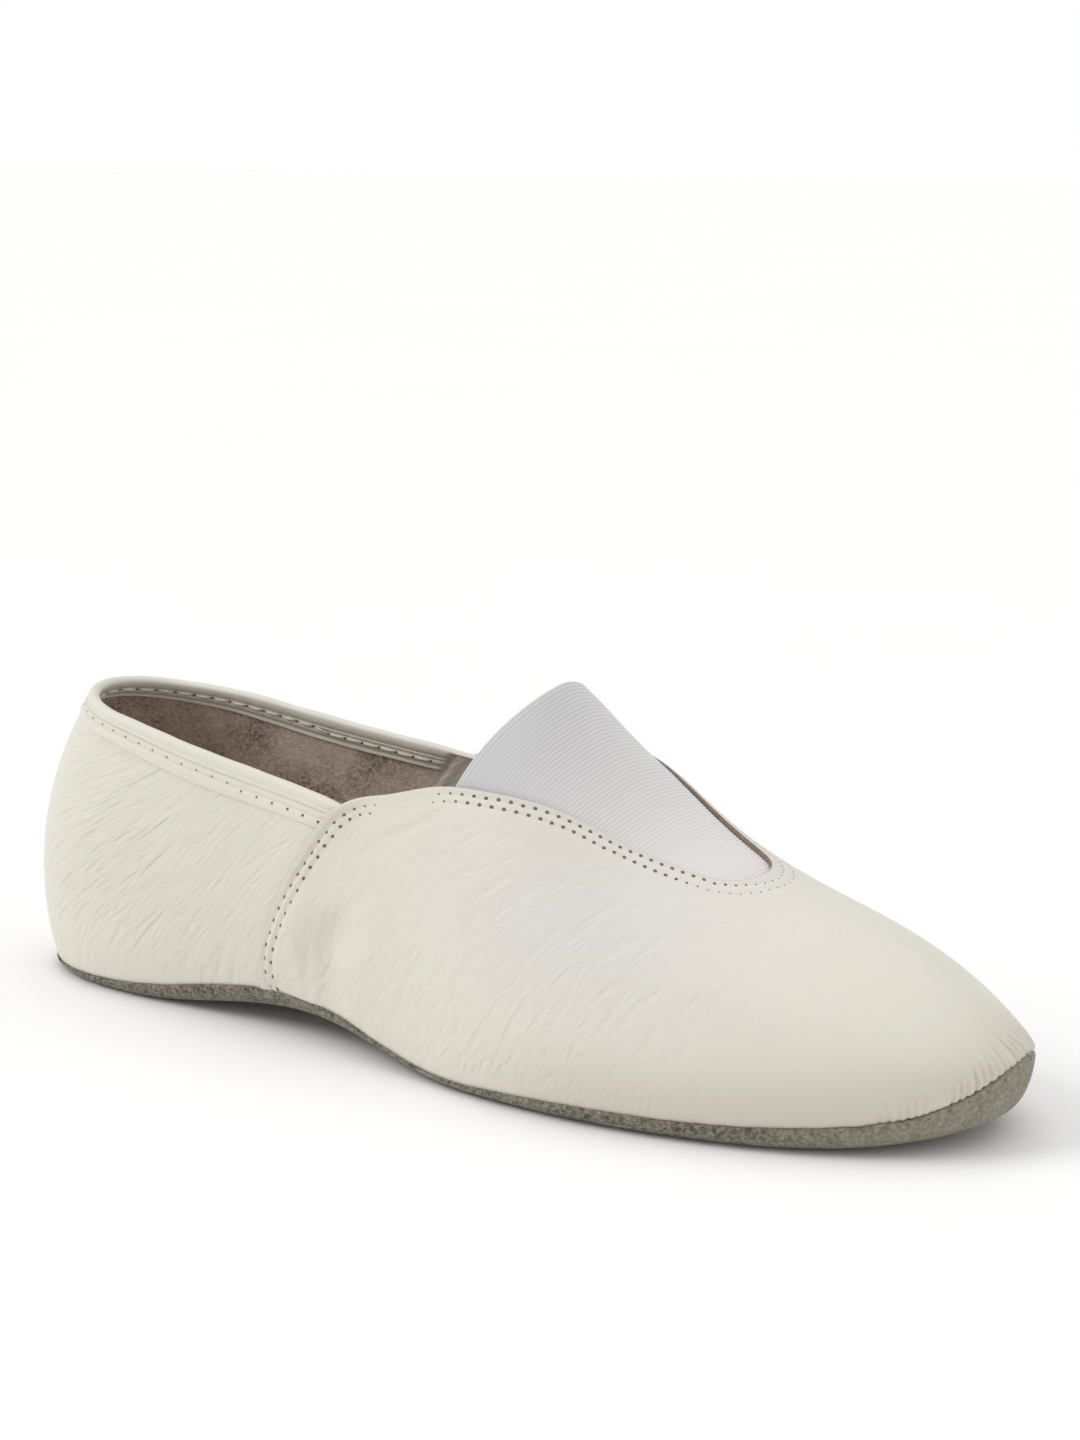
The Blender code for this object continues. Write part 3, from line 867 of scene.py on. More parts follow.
@dataclass(frozen=True)
class Nap(Finish):
    """Suede: split leather brushed to a short nap, matt and mottled where the fibres lie two ways."""

    colour: str
    shade: str
    fleck: str
    patch: float
    fibre: float = 0.9 * MM
    depth: float = 0.5 * MM

    def build(self) -> bpy.types.Material:
        """Build the suede, with patches, flecks and a fibre bump.

        Returns:
            The material.
        """
        material, tree, shader = self.start()
        place = add_node(tree, "ShaderNodeTexCoord")
        patches = add_node(tree, "ShaderNodeTexNoise", {
            "Vector": place.outputs["Object"], "Scale": 1 / self.patch, "Detail": 4.0, "Roughness": 0.6})
        spread = add_node(tree, "ShaderNodeMapRange", {
            "Value": patches.outputs["Fac"], "From Min": 0.36, "From Max": 0.64})
        fibres = add_node(tree, "ShaderNodeTexNoise", {
            "Vector": place.outputs["Object"], "Scale": 1 / self.fibre, "Detail": 3.0, "Roughness": 0.7})
        flecks = add_node(tree, "ShaderNodeMapRange", {
            "Value": fibres.outputs["Fac"], "From Min": 0.40, "From Max": 0.68, "To Max": 0.85})
        tone = add_node(tree, "ShaderNodeMix", {
            BY: spread.outputs["Result"], FROM: linear(self.shade), TO: linear(self.colour)},
            data_type="RGBA")
        nap = add_node(tree, "ShaderNodeMix", {
            BY: flecks.outputs["Result"], FROM: tone.outputs[MIXED], TO: linear(self.fleck)},
            data_type="RGBA")
        # painted light: a piece's mark lightens the nap towards the fleck colour; on the sole, towards the
        # toe
        tint_and_painted_shading = add_node(tree, "ShaderNodeAttribute", attribute_name="tint_and_painted_shading")
        lit_nap = add_node(tree, "ShaderNodeMix", {
            BY: tint_and_painted_shading.outputs["Fac"], FROM: nap.outputs[MIXED], TO: linear(self.fleck)}, data_type="RGBA")
        bump = add_node(tree, "ShaderNodeBump", {
            "Height": fibres.outputs["Fac"], "Strength": 0.8, "Distance": self.depth})
        feed(tree, shader, {
            "Base Color": lit_nap.outputs[MIXED], "Normal": bump.outputs["Normal"], "Roughness": 0.95,
            "Specular IOR Level": 0.2, "Sheen Weight": 0.15, "Sheen Roughness": 0.6})
        return material


@dataclass(frozen=True)
class KnitElastic(Finish):
    """Knitted elastic webbing: off-white yarn over rubber, ribbed across, with a fine stitch between."""

    cool: tuple[str, str] = ("#BAB9BC", "#D6D5D6")      # furrow and rib towards the back of the panel, darker: painted shade
    warm: tuple[str, str] = ("#D6D2D0", "#F0ECE9")      # the same towards the toe, lighter: painted light
    wale: float = 0.8 * MM
    course: float = 0.9 * MM

    def build(self) -> bpy.types.Material:
        """Build the webbing, whose knit follows the panel's own map.

        Returns:
            The material.
        """
        material, tree, shader = self.start()
        chart = add_node(tree, "ShaderNodeUVMap", uv_map="grain")
        axes = add_node(tree, "ShaderNodeSeparateXYZ", {"Vector": chart.outputs["UV"]})
        waves = []
        for axis, pitch in (("X", self.wale), ("Y", self.course)):
            angle = add_node(tree, "ShaderNodeMath", {
                0: axes.outputs[axis], 1: 2 * math.pi / pitch}, operation="MULTIPLY")
            waves.append(add_node(tree, "ShaderNodeMath", {0: angle.outputs["Value"]}, operation="SINE"))
        knit = add_node(tree, "ShaderNodeMath", {
            0: waves[0].outputs["Value"], 1: 0.6, 2: waves[1].outputs["Value"]}, operation="MULTIPLY_ADD")
        height = add_node(tree, "ShaderNodeMapRange", {
            "Value": knit.outputs["Value"], "From Min": -1.6, "From Max": 1.6})
        rib = add_node(tree, "ShaderNodeMapRange", {
            "Value": waves[1].outputs["Value"], "From Min": -1.0, "From Max": 1.0})
        cool, warm = (add_node(tree, "ShaderNodeMix", {
            BY: rib.outputs["Result"], FROM: linear(furrow), TO: linear(top)}, data_type="RGBA")
            for furrow, top in (self.cool, self.warm))
        # painted light: the webbing is darker at the panel's back and lighter towards the toe
        elastic_painted_light = add_node(tree, "ShaderNodeAttribute", attribute_name="elastic_painted_light")
        tone = add_node(tree, "ShaderNodeMix", {
            BY: elastic_painted_light.outputs["Fac"], FROM: cool.outputs[MIXED], TO: warm.outputs[MIXED]}, data_type="RGBA")
        bump = add_node(tree, "ShaderNodeBump", {
            "Height": height.outputs["Result"], "Strength": 0.5, "Distance": 0.05 * MM})
        feed(tree, shader, {
            "Base Color": tone.outputs[MIXED], "Normal": bump.outputs["Normal"], "Roughness": 0.8,
            "Sheen Weight": 0.2})
        return material


@dataclass(frozen=True)
class Mottled(Finish):
    """Plain small goods such as thread, raw edges and needle holes: matt, with a slight mottle."""

    colour: str
    shade: str
    roughness: float = 0.8
    patch: float = 1.2 * MM

    def build(self) -> bpy.types.Material:
        """Build the material, with two close colours.

        Returns:
            The material.
        """
        material, tree, shader = self.start()
        place = add_node(tree, "ShaderNodeTexCoord")
        patches = add_node(tree, "ShaderNodeTexNoise", {
            "Vector": place.outputs["Object"], "Scale": 1 / self.patch, "Detail": 2.0})
        tone = add_node(tree, "ShaderNodeMix", {
            BY: patches.outputs["Fac"], FROM: linear(self.shade), TO: linear(self.colour)}, data_type="RGBA")
        bump = add_node(tree, "ShaderNodeBump", {
            "Height": patches.outputs["Fac"], "Strength": 0.4, "Distance": 0.1 * MM})
        feed(tree, shader, {
            "Base Color": tone.outputs[MIXED], "Normal": bump.outputs["Normal"], "Roughness": self.roughness})
        return material


@dataclass
class Wardrobe:
    """All the finishes, each built once."""

    leather: bpy.types.Material = field(init=False)
    flesh: bpy.types.Material = field(init=False)
    sock: bpy.types.Material = field(init=False)
    sole: bpy.types.Material = field(init=False)
    raw_edge: bpy.types.Material = field(init=False)
    elastic: bpy.types.Material = field(init=False)
    thread: bpy.types.Material = field(init=False)
    hole: bpy.types.Material = field(init=False)

    def __post_init__(self) -> None:
        """Build the materials."""
        self.leather = GrainLeather("kid leather, dyed cream").build()
        self.flesh = Nap("leather flesh side", "#D2BFAF", "#786052", "#E2D3C6", 14 * MM).build()
        self.sock = Nap("suede sock lining", "#AC9685", "#806755", "#BFAB9B", 16 * MM).build()
        self.sole = Nap("split suede, grey", "#716A5D", "#3C362B", "#A8A191", 3.5 * MM).build()
        self.raw_edge = Mottled("raw cut leather edge", "#9C897C", "#6F5B4F").build()
        self.elastic = KnitElastic("knitted elastic webbing").build()
        self.thread = Mottled("bonded polyester thread", "#E4DFD2", "#D6D0C2", 0.55).build()
        # needle holes: the pierced leather's brown, darkened as painted shade for the hollow of each hole
        self.hole = Mottled("needle hole in leather", "#857A6B", "#665B4D", 0.95).build()


def settle(name: str, cloth: bmesh.types.BMesh, finishes: Sequence[bpy.types.Material]) -> bpy.types.Object:
    """Turn a worked mesh into an object of the scene.

    Args:
        name: Its name.
        cloth: The worked mesh, which is freed.
        finishes: Its materials, in the order of their numbers.

    Returns:
        The object.
    """
    mesh = bpy.data.meshes.new(name)
    cloth.to_mesh(mesh)
    cloth.free()
    for finish in finishes:
        mesh.materials.append(finish)
    mesh.shade_smooth()
    piece = bpy.data.objects.new(name, mesh)
    bpy.context.scene.collection.objects.link(piece)
    return piece


@dataclass
class Blank:
    """Flat sheet cut as a fine grid, given its thickness, and then pulled into place."""

    outer: Array
    inner: Array
    closed_ring: bool = False
    closed_top: Optional[tuple[int, int]] = None
    turned: Optional[Array] = None
    flat_thickness: float = 1.0
    weld: float = 1e-6
    sharp_angle: float = math.radians(55)

    def make(self, name: str, finishes: Sequence[bpy.types.Material], chart: Array,
             marks: dict[str, Array]) -> bpy.types.Object:
        """Cut the sheet and pull it into place.

        Args:
            name: Name of the piece.
            finishes: Materials of its grain side, its flesh side and its cut edges.
            chart: Map coordinates of each grid point.
            marks: Further values of each grid point, by name.

        Returns:
            The piece.
        """
        columns, rows = self.outer.shape[:2]
        sheet = bmesh.new()
        bmesh.ops.create_grid(sheet, x_segments=columns - 1, y_segments=rows - 1, size=1)
        bmesh.ops.solidify(sheet, geom=sheet.faces[:], thickness=self.flat_thickness)
        sheet.normal_update()
        self._name_faces(sheet, columns, rows)
        ticket = sheet.verts.layers.int.new("ticket")
        for vert in sheet.verts:
            i = round((vert.co.x + 1) / 2 * (columns - 1))
            j = round((vert.co.y + 1) / 2 * (rows - 1))
            vert[ticket] = i * rows + j
            vert.co = (self.outer if vert.co.z > -self.flat_thickness / 2 else self.inner)[i, j]
        if self.closed_ring or self.closed_top:
            bmesh.ops.remove_doubles(sheet, verts=sheet.verts[:], dist=self.weld)
        piece = settle(name, sheet, finishes)
        self._carry(piece.data, chart, marks)
        piece.data.set_sharp_from_angle(angle=self.sharp_angle)
        return piece

    def _name_faces(self, sheet: bmesh.types.BMesh, columns: int, rows: int) -> None:
        """Give each face its side of the sheet, and drop edges that will be joined.

        Args:
            sheet: The flat sheet with its thickness.
            columns: Number of grid points along it.
            rows: Number of grid points across it.
        """
        joined = []
        for patch in sheet.faces:
            centre = patch.calc_center_median()
            i = (centre.x + 1) / 2 * (columns - 1)
            if abs(patch.normal.z) > 0.5:
                j = (centre.y + 1) / 2 * (rows - 1)
                grain = patch.normal.z > 0 or self.turned is not None and self.turned[int(i), int(j)]
                patch.material_index = Face.GRAIN if grain else Face.FLESH
                continue
            patch.material_index = Face.CUT
            at_top = centre.y > 1 - TINY
            if self.closed_ring and (at_top or abs(centre.x) > 1 - TINY):
                joined.append(patch)
            elif self.closed_top and at_top and self.closed_top[0] < i < self.closed_top[1]:
                joined.append(patch)
        if joined:
            bmesh.ops.delete(sheet, geom=joined, context="FACES_ONLY")

    @staticmethod
    def _carry(mesh: bpy.types.Mesh, chart: Array, marks: dict[str, Array]) -> None:
        """Put the map and the named values on the finished mesh.

        Args:
            mesh: The mesh, with the ticket of each point.
            chart: Map coordinates of each grid point.
            marks: Further values of each grid point, by name.
        """
        ticket = np.empty(len(mesh.vertices), np.int32)
        mesh.attributes["ticket"].data.foreach_get("value", ticket)
        corner = np.empty(len(mesh.loops), np.int32)
        mesh.loops.foreach_get("vertex_index", corner)
        layer = mesh.uv_layers.new(name="grain")
        layer.uv.foreach_set("vector", chart.reshape(-1, 2)[ticket[corner]].astype(np.float32).ravel())
        for name, values in marks.items():
            store = mesh.attributes.new(name, "FLOAT", "POINT")
            store.data.foreach_set("value", values.reshape(-1)[ticket].astype(np.float32))
        mesh.attributes.remove(mesh.attributes["ticket"])


def dress(piece: bpy.types.Object, node: Optional[str]) -> bpy.types.Object:
    """Seat a finished piece in the frame.

    Args:
        piece: The piece.
        node: CAD node that it stands for, if any.

    Returns:
        The piece.
    """
    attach(piece, "root")
    if node:
        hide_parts(node)
    triangles = sum(len(patch.vertices) - 2 for patch in piece.data.polygons)
    LOG.info("%s: %d triangles", piece.name, triangles)
    return piece


CLOSE_DROPS = tuple(d * MM for d in (0, 0.12, 0.3, 0.55, 0.85, *np.arange(1.2, 6.8, 0.46)))
CLOSE_LIFTS = tuple(d * MM for d in (0, 0.15, 0.4, 0.8, 1.3))
COLLAR_DROPS = tuple(d * MM for d in (0, 0.4, 1.0, 2.0))


@dataclass
class Upper:
    """Leather of the slipper: a vamp that is sewn over two joined quarters."""

    pattern: Pattern
    wardrobe: Wardrobe
    leather: float = 1.2 * MM
    vamp_step: float = 1.1 * MM
    vamp_fade: float = 13.0 * MM
    seam_pitch: float = 3.4 * MM
    throat_pitch: float = 2.85 * MM
    apex_pitch: float = 2.3 * MM
    wide_column: float = 0.95 * MM
    toe_column: float = 0.33 * MM
    column_fade: float = 12 * MM
    quarter_columns: int = 150
    middle_rows: int = 54
    pleats: Pleats = Pleats()
    underlap: float = 3.0 * MM                  # length of the quarters that lies under the vamp
    # the vamp's edge, along it past the corner of collar and throat or away from it
    bare: Span = Span(13.0 * MM, 28.5 * MM)     # where no stitch shows
    bare_fade: float = 5 * MM
    bare_slack: float = 0.8
    skived: Span = Span(0.55, 1.0)              # share of the thickness left at the edge, seam and apex
    skiving_run: Span = Span(45 * MM, 95 * MM)
    skiving: Span = Span(0.5 * MM, 5.0 * MM)
    firm: Span = Span(0.4, 1.0)                 # pull of the stitches, throat and seam
    firm_run: Span = Span(6 * MM, -4 * MM)
    edge_round: Swell = Swell(0.28 * MM, 0.6 * MM)
    foot_round: Swell = Swell(0.45 * MM, 1.3 * MM)
    groove: Swell = Swell(0.30 * MM, 0.55 * MM)
    ridge: Swell = Swell(0.20 * MM, 0.8 * MM)
    lip: Swell = Swell(0.14 * MM, 0.8 * MM)
    corner: Swell = Swell(0.75 * MM, 5 * MM)    # how far the vamp rides over the binding's end
    seat: Span = Span(0.4, 1.0)                 # share of the step at the feather line, and above it
    seat_rise: Span = Span(0.0, 4 * MM)
    # where the grain side is turned in and shows inside
    turned_width: float = 5.4 * MM
    turned_drop: float = 14.0 * MM
    turned_vamp: Span = Span(-14 * MM, 34 * MM)
    tab: Swell = Swell(0.4 * MM, 0.7 * MM)
    tab_place: float = 3.6 * MM
    # wrinkles: how they lean, and where they show
    lean_turn: float = 15 * MM
    lean_knee: float = 18 * MM
    vamp_slope: Span = Span(0.30, 0.80)
    vamp_slope_run: Span = Span(-25 * MM, 45 * MM)
    vamp_weight: Span = Span(0.6, 1.2)
    vamp_low_weight: float = 0.75
    wrinkled: Span = Span(100 * MM, 20 * MM)
    wrinkled_low: Span = Span(88 * MM, 60 * MM)
    low_side: Span = Span(46 * MM, 22 * MM)
    off_edge: Span = Span(4 * MM, 9 * MM)
    wrinkle_mark: Span = Span(0.15, 1.0)
    quarter_slope: Span = Span(1.15, 0.55)
    quarter_slope_run: Span = Span(40 * MM, 90 * MM)
    quarter_weight: Span = Span(0.9, 1.9)
    heel_side: Span = Span(75 * MM, 35 * MM)
    off_foot: Span = Span(2 * MM, 16 * MM)
    # tones: scuffed along the edge and its corner, painted shade low at the front, cooler on the vamp's side
    edge_tint_and_painted_shade: float = 0.4
    edge_band: Span = Span(1.3 * MM, 0.5 * MM)
    corner_tone: float = 0.45
    corner_band: Span = Span(3.0 * MM, 1.8 * MM)
    corner_in: Span = Span(-34 * MM, -14 * MM)
    corner_out: Span = Span(12 * MM, 2 * MM)
    foot_painted_shade: float = 0.5
    foot_shade_band: Span = Span(18 * MM, 3 * MM)
    front_shade_run: Span = Span(0 * MM, 50 * MM)
    cool_tone: float = 0.85
    cool_x: Patch = Patch(41 * MM, 26 * MM)
    cool_z: Patch = Patch(41 * MM, 14 * MM)
    # found on the way
    vamp: bpy.types.Object = field(init=False)
    edge: EdgeLine = field(init=False)
    edge_normals: Array = field(init=False)
    junction: float = field(init=False)

    def build(self) -> None:
        """Make both leather pieces."""
        self._trace_edge()
        self._build_vamp()
        self._build_quarters()

    def _trace_edge(self) -> None:
        """Run the vamp's edge from the foot of one side seam round the throat to the other."""
        pattern, last = self.pattern, self.pattern.last
        corner = pattern.throat_climb(pattern.seam_turn)
        turn, climb = pattern.place(pattern.seam_turn, np.linspace(0, 1, 90), corner)
        opening = np.linspace(pattern.seam_turn, pattern.throat_turn, 160)[1:]
        turns = np.concatenate([turn, opening])
        climbs = np.concatenate([climb, [pattern.throat_climb(float(t)) for t in opening]])
        half = last.at(turns, climbs, np.array(Side.NEAR.value))
        up = last.normal(turns, climbs, np.full(len(turns), Side.NEAR.value))
        mirror = np.array([1.0, -1.0, 1.0])
        self.edge = EdgeLine(np.concatenate([half, half[-2::-1] * mirror]))
        self.edge_normals = np.concatenate([up, up[-2::-1] * mirror])
        self.junction = float(self.edge.along[len(turn) - 1])

    def past_junction(self, along: Array) -> Array:
        """Distance along the edge past the corner where collar and throat meet, on either side."""
        return np.minimum(along, self.edge.along[-1] - along) - self.junction

    def row(self, which: str, along: Array) -> Array:
        """Distance of a stitch row from the vamp's edge, at distances along that edge."""
        from_end = np.minimum(along, self.edge.along[-1] - along)
        return np.interp(from_end, column_of(SEAM_ROWS, "along"), column_of(SEAM_ROWS, which))

    def sewn(self, along: Array) -> Array:
        """How firmly the vamp's edge is sewn.

        Args:
            along: Distances along the edge.

        Returns:
            1 where it is sewn tight, and less where no stitch shows.
        """
        past = self.past_junction(along)
        start, end = self.bare
        fade = self.bare_fade
        return 1 - self.bare_slack * ramp(past, start - fade, start) * ramp(past, end + fade, end)

    def unsewn(self, along: Array) -> Array:
        """Whether no stitch shows, at distances along the vamp's edge."""
        past = self.past_junction(along)
        return (past > self.bare.start) & (past < self.bare.end)

    def edge_wall(self, past: Array) -> Array:
        """Thickness that is left at the vamp's edge, at distances past the junction."""
        return self.leather * self.skived.at(self.skiving_run.of(past))

    def _seam_relief(self, along: Array, away: Array) -> Array:
        """Rounded edge, grooves along the two stitch rows and the ridge that stands between them.

        Args:
            along: Distance along the vamp's edge.
            away: Distance from it.

        Returns:
            Relief of the vamp.
        """
        first, second = self.row("first", along), self.row("second", along)
        firm = self.sewn(along) * self.firm.at(self.firm_run.of(self.past_junction(along)))
        grooves = bell(away - first, self.groove.width) + bell(away - second, self.groove.width)
        relief = self.lip.height * bell(away - first / 2, self.lip.width) - rounding(away, self.edge_round)
        relief -= self.groove.height * firm * grooves
        return relief + self.ridge.height * firm * bell(away - (first + second) / 2, self.ridge.width)

    def _pleat_relief(self, along: Array, lift: Array) -> Array:
        """Fine pleats where the leather is drawn in round the toe.

        Args:
            along: Distance along the feather line from the tip of the toe, negative on the near side.
            lift: Distance up from the feather line.

        Returns:
            Relief of the vamp.
        """
        pleats = self.pleats
        draw = np.random.default_rng(pleats.seed)
        relief = np.zeros(along.shape)
        place = -pleats.reach
        while place < pleats.reach:
            strength = math.sqrt(1 - abs(place) / pleats.reach)
            length = draw.uniform(*pleats.length) * pleats.length_share.at(strength)
            width = draw.uniform(*pleats.width)
            lean = draw.uniform(*pleats.lean) + pleats.fan * place
            bend = draw.uniform(*pleats.bend)
            fade = ramp(lift, length, pleats.top * length) * pleats.foot_share.at(pleats.foot.of(lift))
            across = along - place - lean * lift - bend * lift ** 2
            depth = draw.uniform(*pleats.depth) * pleats.depth_share.at(strength)
            beside = np.abs(across) - pleats.shoulder.width * width
            relief += depth * fade * (pleats.shoulder.height * bell(beside, width) - bell(across, width))
            place += draw.uniform(*pleats.gap)
        return relief

    def _column_turns(self, start: float) -> list[float]:
        """Turns of the vamp's columns up to the tip of the toe, closest where it is pleated.

        Args:
            start: Turn that they follow on.

        Returns:
            The turns, the last one at the tip.
        """
        fine = np.linspace(start, math.pi, FINE_STEPS)
        run = lengths_along(self.pattern.last.feather(fine, Side.NEAR.value))
        to_tip = run[-1] - run
        near_tip = ramp(to_tip, self.pleats.reach + self.column_fade, self.pleats.reach)
        column = self.wide_column + (self.toe_column - self.wide_column) * near_tip
        count = np.concatenate([[0.0], np.cumsum(np.diff(run) / column[1:])])
        places = np.linspace(0, count[-1], int(count[-1]) + 1)[1:]
        return [float(turn) for turn in np.interp(places, count, fine)]

    def _chart(self, along: Array, lift: Array, toward_toe: float, slope: Array) -> Array:
        """Map whose first axis runs across the wrinkles, which lean to the toe as they climb."""
        swing = toward_toe * np.tanh(along / self.lean_turn) * slope * lift ** 2 / (lift + self.lean_knee)
        return np.stack([along - swing, lift], -1)

    def _build_vamp(self) -> None:
        """Cut the vamp, from side seam round the toe to side seam."""
        pattern = self.pattern
        half = [pattern.seam_turn + pattern.turns_past_seam(drop) for drop in CLOSE_DROPS]
        half += self._column_turns(half[-1])
        half[-1] = math.pi
        tip = len(half) - 1
        turns = half + half[-2::-1]
        sides = [Side.NEAR.value] * len(half) + [Side.FAR.value] * tip
        lay = pattern.lay(turns, sides, pattern.throat_climb, CLOSE_DROPS, CLOSE_LIFTS, self.middle_rows)
        feather = lengths_along(lay.points[:, 0])
        around = (feather - feather[tip])[:, None] + np.zeros(lay.points.shape[:2])
        lift = lay.heights
        along, away = self.edge.measure(lay.points)
        past = self.past_junction(along)
        ahead = (station_of(lay.turns) - pattern.seam_top) * pattern.last.length / self.vamp_fade
        step = self.vamp_step * np.cos(RIDGE * np.clip(ahead, 0, 1)) ** 2
        x, z = lay.points[..., 0], lay.points[..., 2]
        chart = self._chart(around, lift, -1.0, self.vamp_slope.at(self.vamp_slope_run.of(x)))
        low = self.low_side.of(z)
        weight = self.wrinkled.of(x) * self.off_edge.of(away) * self.vamp_weight.at(low)
        weight = np.maximum(weight, self.vamp_low_weight * low * self.wrinkled_low.of(x))
        folds = fold_relief(lay, VAMP_CREASES)
        seated = step[:, None] * self.seat.at(self.seat_rise.of(lift))
        relief = seated + folds + self._seam_relief(along, away) + self._pleat_relief(around, lift)
        relief -= rounding(lift, self.foot_round)
        relief += self.corner.height * bell(np.hypot(past, away), self.corner.width)
        wall = self.edge_wall(past) + (self.leather - self.edge_wall(past)) * self.skiving.of(away)
        open_column = int(np.searchsorted(half, pattern.throat_turn))
        turned = (away < self.turned_drop) & (past > self.turned_vamp.start) & (past < self.turned_vamp.end)
        blank = Blank(lay.raised(relief)[::-1], lay.raised(np.minimum(folds, 0.0) - wall)[::-1],
                      closed_top=(open_column, len(turns) - 1 - open_column), turned=turned[::-1])
        corner = self.corner_tone * self.corner_in.of(past) * self.corner_out.of(past)
        tone = np.maximum(self.edge_tint_and_painted_shade * self.edge_band.of(away), corner * self.corner_band.of(away))
        # painted shade: darker low on the front of the vamp, near the sole
        tone = np.maximum(tone, self.foot_painted_shade * self.foot_shade_band.of(lift) * self.front_shade_run.of(x))
        cool = self.cool_x.of(x) * self.cool_z.of(z)
        finishes = [self.wardrobe.leather, self.wardrobe.flesh, self.wardrobe.raw_edge]
        marks = {"wrinkle": self.wrinkle_mark.at(weight)[::-1], "edge_tint_and_painted_shade": tone[::-1],
                 "cool": self.cool_tone * cool[::-1]}
        self.vamp = dress(blank.make("vamp", finishes, chart[::-1], marks), "upper")

    def _build_quarters(self) -> None:
        """Cut the quarters as one sheet, from side seam round the heel to side seam."""
        pattern = self.pattern
        turns, sides = pattern.round_heel(self.quarter_columns, self.underlap)
        lay = pattern.lay(turns, sides, pattern.collar_climb, COLLAR_DROPS, CLOSE_LIFTS, self.middle_rows)
        feather = lengths_along(lay.points[:, 0])
        around = (feather - feather[self.quarter_columns - 1])[:, None] + np.zeros(lay.points.shape[:2])
        lift = lay.heights
        from_heel = np.abs(around)
        chart = self._chart(around, lift, 1.0, self.quarter_slope.at(self.quarter_slope_run.of(from_heel)))
        weight = self.quarter_weight.at(self.heel_side.of(from_heel) * self.off_foot.of(lift))
        folds = fold_relief(lay, QUARTER_CREASES)
        relief = folds - rounding(lift, self.foot_round)
        collar = lengths_along(lay.points[:, -1])
        to_end = np.minimum(collar, collar[-1] - collar)[:, None]
        turned = (lift[:, -1:] - lift < self.turned_drop) & (to_end < self.turned_width)
        tab = self.tab.height * bell(to_end - self.tab_place, self.tab.width) * turned
        blank = Blank(lay.raised(relief)[::-1], lay.raised(np.minimum(folds, 0.0) - self.leather - tab)[::-1],
                      turned=turned[::-1])
        finishes = [self.wardrobe.leather, self.wardrobe.flesh, self.wardrobe.raw_edge]
        marks = {"wrinkle": weight[::-1]}
        dress(blank.make("quarters", finishes, chart[::-1], marks), "upper")


